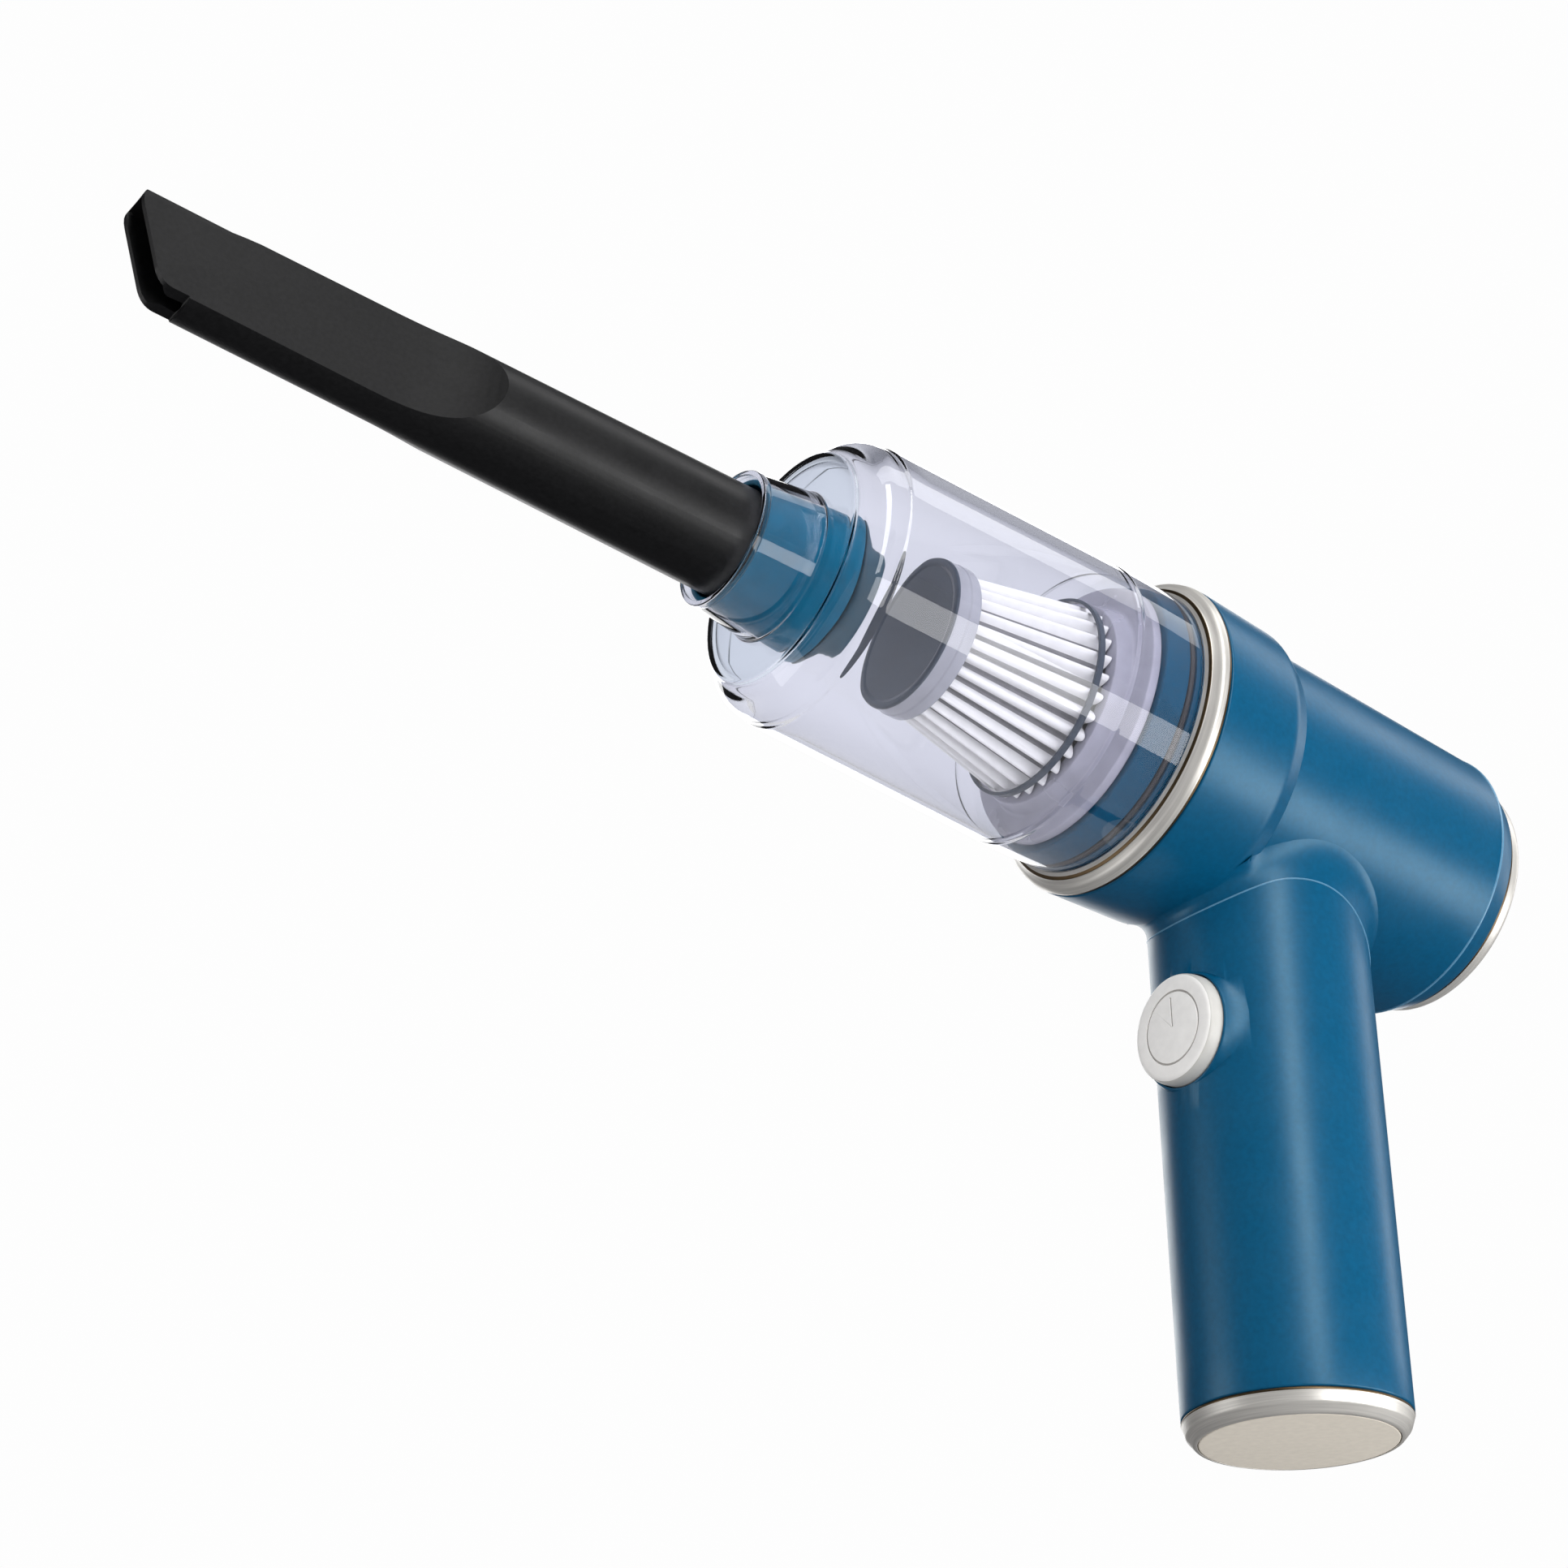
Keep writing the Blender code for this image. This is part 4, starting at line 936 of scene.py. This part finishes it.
def grip_rings():
    """Rings of the grip's skin: foot, straight wall, seam line, fillet on the barrel, inner edge."""
    angles = [2 * pi * index / GRIP_STEPS for index in range(GRIP_STEPS)]
    drops = [SEAM_DROP + 1.0 * MM * sin(angle) ** 2 + SEAM_TILT * cos(angle) for angle in angles]
    spreads = [2.5 * MM + 2.5 * MM * sin(angle) ** 2 for angle in angles]
    bottom = GRIP_LOW.z
    start = bottom + 0.4 * MM
    foot = ((GRIP_LOW_RADIUS - GRIP_WALL, bottom), (GRIP_LOW_RADIUS - 0.35 * MM, bottom),
            (GRIP_LOW_RADIUS - 0.1 * MM, bottom + 0.1 * MM), (GRIP_LOW_RADIUS, start))
    rings = [[(radius * cos(angle), radius * sin(angle), height) for angle in angles]
             for radius, height in foot]
    meeting_height = 110.0 * MM
    radius = grip_radius(meeting_height)
    across = [(radius * cos(angle), radius * sin(angle)) for angle in angles]
    corners = [Vector((x, y, saddle_height(x, y))) for x, y in across]

    def ring_at(levels, heights, out=0.0):
        """A ring at the given heights, as wide as the grip is at the given levels."""
        ring = []
        for angle, level, height in zip(angles, levels, heights):
            radius = grip_radius(level) + out
            ring.append((radius * cos(angle), radius * sin(angle), height))
        return ring

    for step in range(1, GRIP_LEVELS + 1):
        share = step / GRIP_LEVELS
        levels = [start + share * (corner.z - drop - 0.5 * MM - start)
                  for corner, drop in zip(corners, drops)]
        rings.append(ring_at(levels, levels))
    levels = [corner.z for corner in corners]
    for lift, out in ((-0.2 * MM, 0.0), (-0.1 * MM, SEAM_HEIGHT), (0.1 * MM, SEAM_HEIGHT), (0.2 * MM, 0.0)):
        heights = [level - drop + lift for level, drop in zip(levels, drops)]
        rings.append(ring_at(levels, heights, out))
    fillet_steps = 10
    for step in range(1, fillet_steps + 1):
        share = step / fillet_steps
        ring = []
        for angle, corner, drop, spread in zip(angles, corners, drops, spreads):
            outward = Vector((cos(angle), sin(angle), 0.0))
            normal = barrel_normal(corner)
            along = (outward - normal * outward.dot(normal)).normalized()
            low = corner - Vector((0.0, 0.0, drop - 0.2 * MM))
            high = on_barrel(corner + along * spread, -0.15 * MM)
            ring.append(low * (1 - share) ** 2 + corner * 2 * share * (1 - share) + high * share ** 2)
        rings.append(ring)
    inner = []
    for angle, corner in zip(angles, corners):
        radius = grip_radius(corner.z) - GRIP_WALL
        x, y = radius * cos(angle), radius * sin(angle)
        inner.append((x, y, saddle_height(x, y) + 0.2 * MM))
    return rings + [inner]


def build_grip():
    """The grip tube, flaring softly into the barrel, with holes for button and socket."""
    grip = lofted("grip_tube", grip_rings(), GRIP)
    grip.data.materials.append(BLUE)
    grip.data.materials.append(BLUE_PAINTED_HIGHLIGHT)
    seam = GRIP_STEPS * (FOOT_RINGS + GRIP_LEVELS)
    # Painted highlight: the faces of the seam bead get the lighter blue.
    for polygon in grip.data.polygons[seam:seam + GRIP_STEPS * SEAM_BANDS]:
        polygon.material_index = 1
    turn = Matrix.Rotation(pi / 2, 4, "Y")
    hole = rod_tool("button_hole", BUTTON_RADIUS + 0.3 * MM, 16.0 * MM,
                    Matrix.Translation((-24.0 * MM, 0.0, BUTTON_LEVEL)) @ turn)
    seat_front = 22.9 * MM
    seat_back = seat_front - 7.2 * MM
    points = [
        (0.0, seat_front, 0.0),
        (BUTTON_RADIUS + 0.7 * MM, seat_front, 0.3 * MM),
        (BUTTON_RADIUS + 3.4 * MM, seat_back, 0.0),
        (0.0, seat_back, 0.0),
    ]
    seat = turned("button_seat", points, Matrix.Translation((0.0, 0.0, BUTTON_LEVEL)) @ turn.inverted(), 96)
    cut(grip, [seat], "UNION")
    port_low, port_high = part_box("usb_port")
    port_level = 0.5 * (port_low.z + port_high.z)
    socket = box_tool("socket_hole", (10.0 * MM, 9.5 * MM, 3.8 * MM), (22.0 * MM, 0.0, port_level), GRIP)
    cut(grip, [hole, socket])
    soften(grip, 0.22 * MM, 2, 50.0)
    place(grip, "main_body", None, "blue_shell", "handle_shell")


def build_base():
    """The champagne ring under the grip and the cream disc in it."""
    ring = Span("base_ring", GRIP)
    disc = Span("base_disc", GRIP)
    top = GRIP_LOW.z - 0.3 * MM
    flange_top = 3.9 * MM
    disc_seat = 1.9 * MM
    neck_inner = 18.3 * MM
    neck_outer = 20.3 * MM
    points = [
        (ring.inner, flange_top, 0.0),
        (neck_inner, flange_top, 0.0),
        (neck_inner, ring.front, 0.0),
        (neck_outer, ring.front, 0.0),
        (neck_outer, top + 0.25 * MM, 0.0),
        (ring.outer - 0.25 * MM, top + 0.25 * MM, 0.1 * MM),
        (ring.outer, top - 0.15 * MM, 0.12 * MM),
        (ring.outer - 0.15 * MM, top - 0.5 * MM, 0.15 * MM),
        (22.0 * MM, disc_seat, 0.3 * MM),
        (20.5 * MM, 0.15 * MM, 0.3 * MM),
        (disc.outer + 0.2 * MM, 0.0, 0.12 * MM),
        (disc.outer + 0.2 * MM, disc_seat, 0.0),
        (ring.inner, disc_seat, 0.0),
    ]
    piece = place(turned("grip_ring", points, GRIP), "main_body", CHAMPAGNE, "champagne_trim", "base_ring")
    paint(piece, BRONZE_LINE, lambda radius, height: height > top - 0.35 * MM and radius > 22.0 * MM)
    points = [
        (0.0, disc.front, 0.0),
        (disc.outer, disc.front, 0.0),
        (disc.outer, disc.back, 0.3 * MM),
        (0.0, disc.back, 0.0),
    ]
    place(turned("grip_disc", points, GRIP), "main_body", CREAM, "cream_disc", "base_disc")


def build_button():
    """The round button with a soft edge and its engraved circle and line."""
    axis = Matrix.Translation((0.0, 0.0, BUTTON_LEVEL)) @ Matrix.Rotation(-pi / 2, 4, "Y")
    face = -BUTTON_LOW.x
    back = -BUTTON_HIGH.x
    radius = BUTTON_RADIUS
    flange_radius = 12.5 * MM
    flange = 1.2 * MM
    ring_radius = 7.7 * MM
    groove = 0.22 * MM
    depth = 0.22 * MM
    points = [
        (0.0, face, 0.0),
        (ring_radius - groove, face, 0.05 * MM),
        (ring_radius - groove, face - depth, 0.0),
        (ring_radius + groove, face - depth, 0.0),
        (ring_radius + groove, face, 0.05 * MM),
        (radius - 0.4 * MM, face - 0.05 * MM, 1.1 * MM),
        (radius, face - 1.6 * MM, 0.5 * MM),
        (radius, back + flange, 0.0),
        (flange_radius, back + flange, 0.0),
        (flange_radius, back, 0.0),
        (0.0, back, 0.0),
    ]
    button = turned("button_cap", points, axis)
    line = box_tool("button_line", (6.4 * MM, 0.4 * MM, 2 * depth), (3.4 * MM, 0.0, face), axis)
    cut(button, [line])
    soften(button, 0.04 * MM, 1, 30.0)
    place(button, "button", BUTTON, "button_plastic", "power_button")
    # Painted shade: the faces of the rounded rim get the darker copy of the button's colour.
    paint(button, BUTTON_RIM_PAINTED_SHADE, lambda distance, height: distance > radius - 0.5 * MM)
    paint(button, BUTTON_MARK, lambda distance, height: abs(height - (face - depth)) < 0.05 * MM
          and distance < ring_radius + groove)


def build_socket():
    """The charging socket with its tongue."""
    low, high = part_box("usb_port")
    centre = 0.5 * (low + high)
    size = high - low
    walls = 0.7 * MM
    floor = Vector((1.0 * MM, 0.0, 0.0))
    shell = box_tool("socket_shell", tuple(size), centre, GRIP)
    soften(shell, 1.2 * MM, 4, 30.0)
    hollow = box_tool("socket_hollow", (size.x, size.y - walls, size.z - walls), centre + floor, GRIP)
    soften(hollow, 1.0 * MM, 4, 30.0)
    tongue = box_tool("socket_tongue", (size.x - 1.6 * MM, size.y - 2.6 * MM, 0.7 * MM), centre, GRIP)
    cut(shell, [hollow])
    cut(shell, [tongue], "UNION")
    place(shell, "main_body", STEEL, "steel", "usb_port")


# ------------------------ pieces carried over from the frame

CARRIED = {
    INNER: ("switch_plunger", "power_switch", "battery_tray_lower", "battery_tray_upper",
            "motor_end_cap", "motor_mount", "fan_shroud"),
    BOARD: ("switch_board", "control_board"),
    SLEEVE: ("battery_cell_1", "battery_cell_2"),
    STEEL: ("motor_can", "motor_shaft", "motor_rotor", "motor_screw_1", "motor_screw_2"),
    BRASS: ("front_bushing", "rear_bushing"),
    FAN_WHITE: ("fan_wheel",),
    RED: ("motor_lead_1",),
    RUBBER: ("motor_lead_2",),
}


def finish_carried():
    """Give the inner CAD pieces their materials."""
    for material, nodes in CARRIED.items():
        for node in nodes:
            mesh = frame["nodes"][node].data
            mesh.materials.clear()
            mesh.materials.append(material)


# ------------------------ studio

CAMERA_AZIMUTH = radians(-35.65)
CAMERA_ELEVATION = radians(-27.59)
CAMERA_ROLL = radians(-0.49)
CAMERA_DISTANCE = 0.6
CAMERA_TARGET = Vector((-0.12235, 0.0, 0.10869))
CAMERA_LENS = 72.15
SENSOR = 36.0
FLOOR_DEPTH = 1.1
FLOOR_SIZE = 40.0
LIGHT_CENTRE = Vector((-0.06, 0.0, 0.12))
GRIP_TURN = radians(10.0)
BARREL_TURN = radians(7.0)
TOP_TURN = radians(55.0)
BACKDROP = (0.985, 0.985, 0.985)
AMBIENT = (0.42, 0.42, 0.43)
REFLECTED = (0.05, 0.05, 0.055)
SEEN_IN_EDGES = (0.30, 0.36, 0.42)
SEEN_THROUGH = (0.84, 0.86, 0.94)
SEEN_ASIDE = (0.24, 0.25, 0.29)
ASIDE_START = 0.66
ASIDE_END = 0.93


def direction(azimuth, elevation):
    """Unit vector from the object towards an azimuth and elevation; azimuth 0 is at -Y."""
    return Vector((sin(azimuth) * cos(elevation), -cos(azimuth) * cos(elevation), sin(elevation)))


def aimed(location, target, roll=0.0):
    """Matrix at a location whose -Z looks at a target."""
    back = (location - target).normalized()
    right = Vector((0.0, 0.0, 1.0)).cross(back).normalized()
    top = back.cross(right)
    turn = Matrix((right, top, back)).transposed().to_4x4()
    return Matrix.Translation(location) @ turn @ Matrix.Rotation(roll, 4, "Z")


def add_camera():
    """The camera, low in front of the nozzle side."""
    data = bpy.data.cameras.new("camera")
    data.lens = CAMERA_LENS
    data.sensor_width = SENSOR
    camera = new_object("camera", data, Matrix.Identity(4))
    location = CAMERA_TARGET + CAMERA_DISTANCE * direction(CAMERA_AZIMUTH, CAMERA_ELEVATION)
    camera.matrix_world = aimed(location, CAMERA_TARGET, CAMERA_ROLL)
    bpy.context.scene.camera = camera


def add_light(name, long_axis, towards, distance, size, power):
    """A rectangular soft light in a direction from the object, with its long side along an axis."""
    data = bpy.data.lights.new(name, "AREA")
    data.shape = "RECTANGLE"
    data.size, data.size_y = size
    data.energy = power
    back = Vector(towards).normalized()
    along = (long_axis - back * long_axis.dot(back)).normalized()
    turn = Matrix((along, back.cross(along), back)).transposed().to_4x4()
    light = new_object(name, data, Matrix.Translation(LIGHT_CENTRE + distance * back) @ turn)
    light.visible_camera = False
    light.visible_transmission = False
    return light


def mirror_direction(view, axis, turn):
    """Direction of a light whose reflection in a round bar runs along it, turned about its middle line."""
    along = view.dot(axis)
    across = view - axis * along
    return Matrix.Rotation(2.0 * turn, 3, axis) @ across - axis * along


def add_world():
    """White for the camera, lavender through clear plastic, darker in reflections, grey for the rest."""
    world = bpy.data.worlds.new("studio")
    bpy.context.scene.world = world
    world.use_nodes = True
    nodes = world.node_tree.nodes
    links = world.node_tree.links
    path = nodes.new("ShaderNodeLightPath")
    coordinates = nodes.new("ShaderNodeTexCoord")
    parts = nodes.new("ShaderNodeSeparateXYZ")
    links.new(coordinates.outputs["Generated"], parts.inputs["Vector"])
    sizes = []
    for axis in ("X", "Z"):
        size = nodes.new("ShaderNodeMath")
        size.operation = "ABSOLUTE"
        links.new(parts.outputs[axis], size.inputs[0])
        sizes.append(size)
    largest = nodes.new("ShaderNodeMath")
    largest.operation = "MAXIMUM"
    links.new(sizes[0].outputs["Value"], largest.inputs[0])
    links.new(sizes[1].outputs["Value"], largest.inputs[1])
    ramp = nodes.new("ShaderNodeValToRGB")
    ramp.color_ramp.elements[0].position = ASIDE_START
    ramp.color_ramp.elements[0].color = (*SEEN_THROUGH, 1.0)
    ramp.color_ramp.elements[1].position = ASIDE_END
    ramp.color_ramp.elements[1].color = (*SEEN_ASIDE, 1.0)
    links.new(largest.outputs["Value"], ramp.inputs["Fac"])

    def choose(test, if_not, if_so):
        """One of two colours or sockets, by a number of the light path."""
        mix = nodes.new("ShaderNodeMix")
        mix.data_type = "RGBA"
        links.new(path.outputs[test], mix.inputs["Factor"])
        for name, value in (("A_Color", if_not), ("B_Color", if_so)):
            socket = next(item for item in mix.inputs if item.identifier == name)
            if isinstance(value, tuple):
                socket.default_value = (*value, 1.0)
            else:
                links.new(value, socket)
        return next(item for item in mix.outputs if item.identifier == "Result_Color")

    mirrored = choose("Transmission Depth", REFLECTED, SEEN_IN_EDGES)
    indirect = choose("Is Glossy Ray", AMBIENT, mirrored)
    through = choose("Is Transmission Ray", indirect, ramp.outputs["Color"])
    scattered = choose("Diffuse Depth", through, AMBIENT)
    seen = choose("Is Camera Ray", scattered, BACKDROP)
    links.new(seen, nodes["Background"].inputs["Color"])


def add_studio():
    """Pale floor, surroundings and soft strip lights."""
    add_world()
    view = direction(CAMERA_AZIMUTH, CAMERA_ELEVATION)
    upright = Vector((0.0, 0.0, 1.0))
    at_grip = mirror_direction(view, upright, GRIP_TURN)
    at_barrel = mirror_direction(view, FORWARD, BARREL_TURN)
    above = mirror_direction(view, FORWARD, TOP_TURN)
    under = direction(radians(144.0), radians(-28.0))
    left = direction(radians(-120.0), radians(-5.0))
    behind = direction(radians(150.0), radians(25.0))
    add_light("grip_strip", upright, at_grip, distance=0.9, size=(1.3, 0.22), power=7.0)
    add_light("barrel_strip", FORWARD, at_barrel, distance=0.9, size=(1.5, 0.34), power=8.5)
    add_light("top_strip", FORWARD, above, distance=0.9, size=(2.2, 0.3), power=4.2)
    under_back = add_light("under_back", upright, under, distance=1.0, size=(0.8, 0.5), power=1.6)
    under_back.visible_glossy = False
    add_light("left_fill", upright, left, distance=1.1, size=(0.8, 0.5), power=2.5)
    add_light("back", upright, behind, distance=1.1, size=(1.0, 1.0), power=7.0)
    builder = bmesh.new()
    bmesh.ops.create_grid(builder, x_segments=1, y_segments=1, size=FLOOR_SIZE)
    floor = from_builder("floor", builder, Matrix.Translation((0.0, 0.0, -FLOOR_DEPTH)))
    pale = moulded("pale_floor", (0.9, 0.9, 0.9), 0.9, grain=30.0, strength=0.02, spread=0.01,
                   Emission_Color=(1.0, 1.0, 1.0, 1.0), Emission_Strength=0.42)
    floor.data.materials.append(pale)
    floor.visible_glossy = False
    floor.visible_diffuse = False
    bpy.context.scene.view_settings.view_transform = "Standard"


def main():
    """Build every piece and the studio."""
    add_camera()
    add_studio()
    build_front_housing()
    build_rear_housing()
    build_trims()
    build_grille()
    build_spigot()
    build_cup()
    build_pleats()
    build_filter_flange()
    build_filter_band()
    build_filter_cap()
    build_nozzle()
    build_grip()
    build_base()
    build_button()
    build_socket()
    finish_carried()


main()
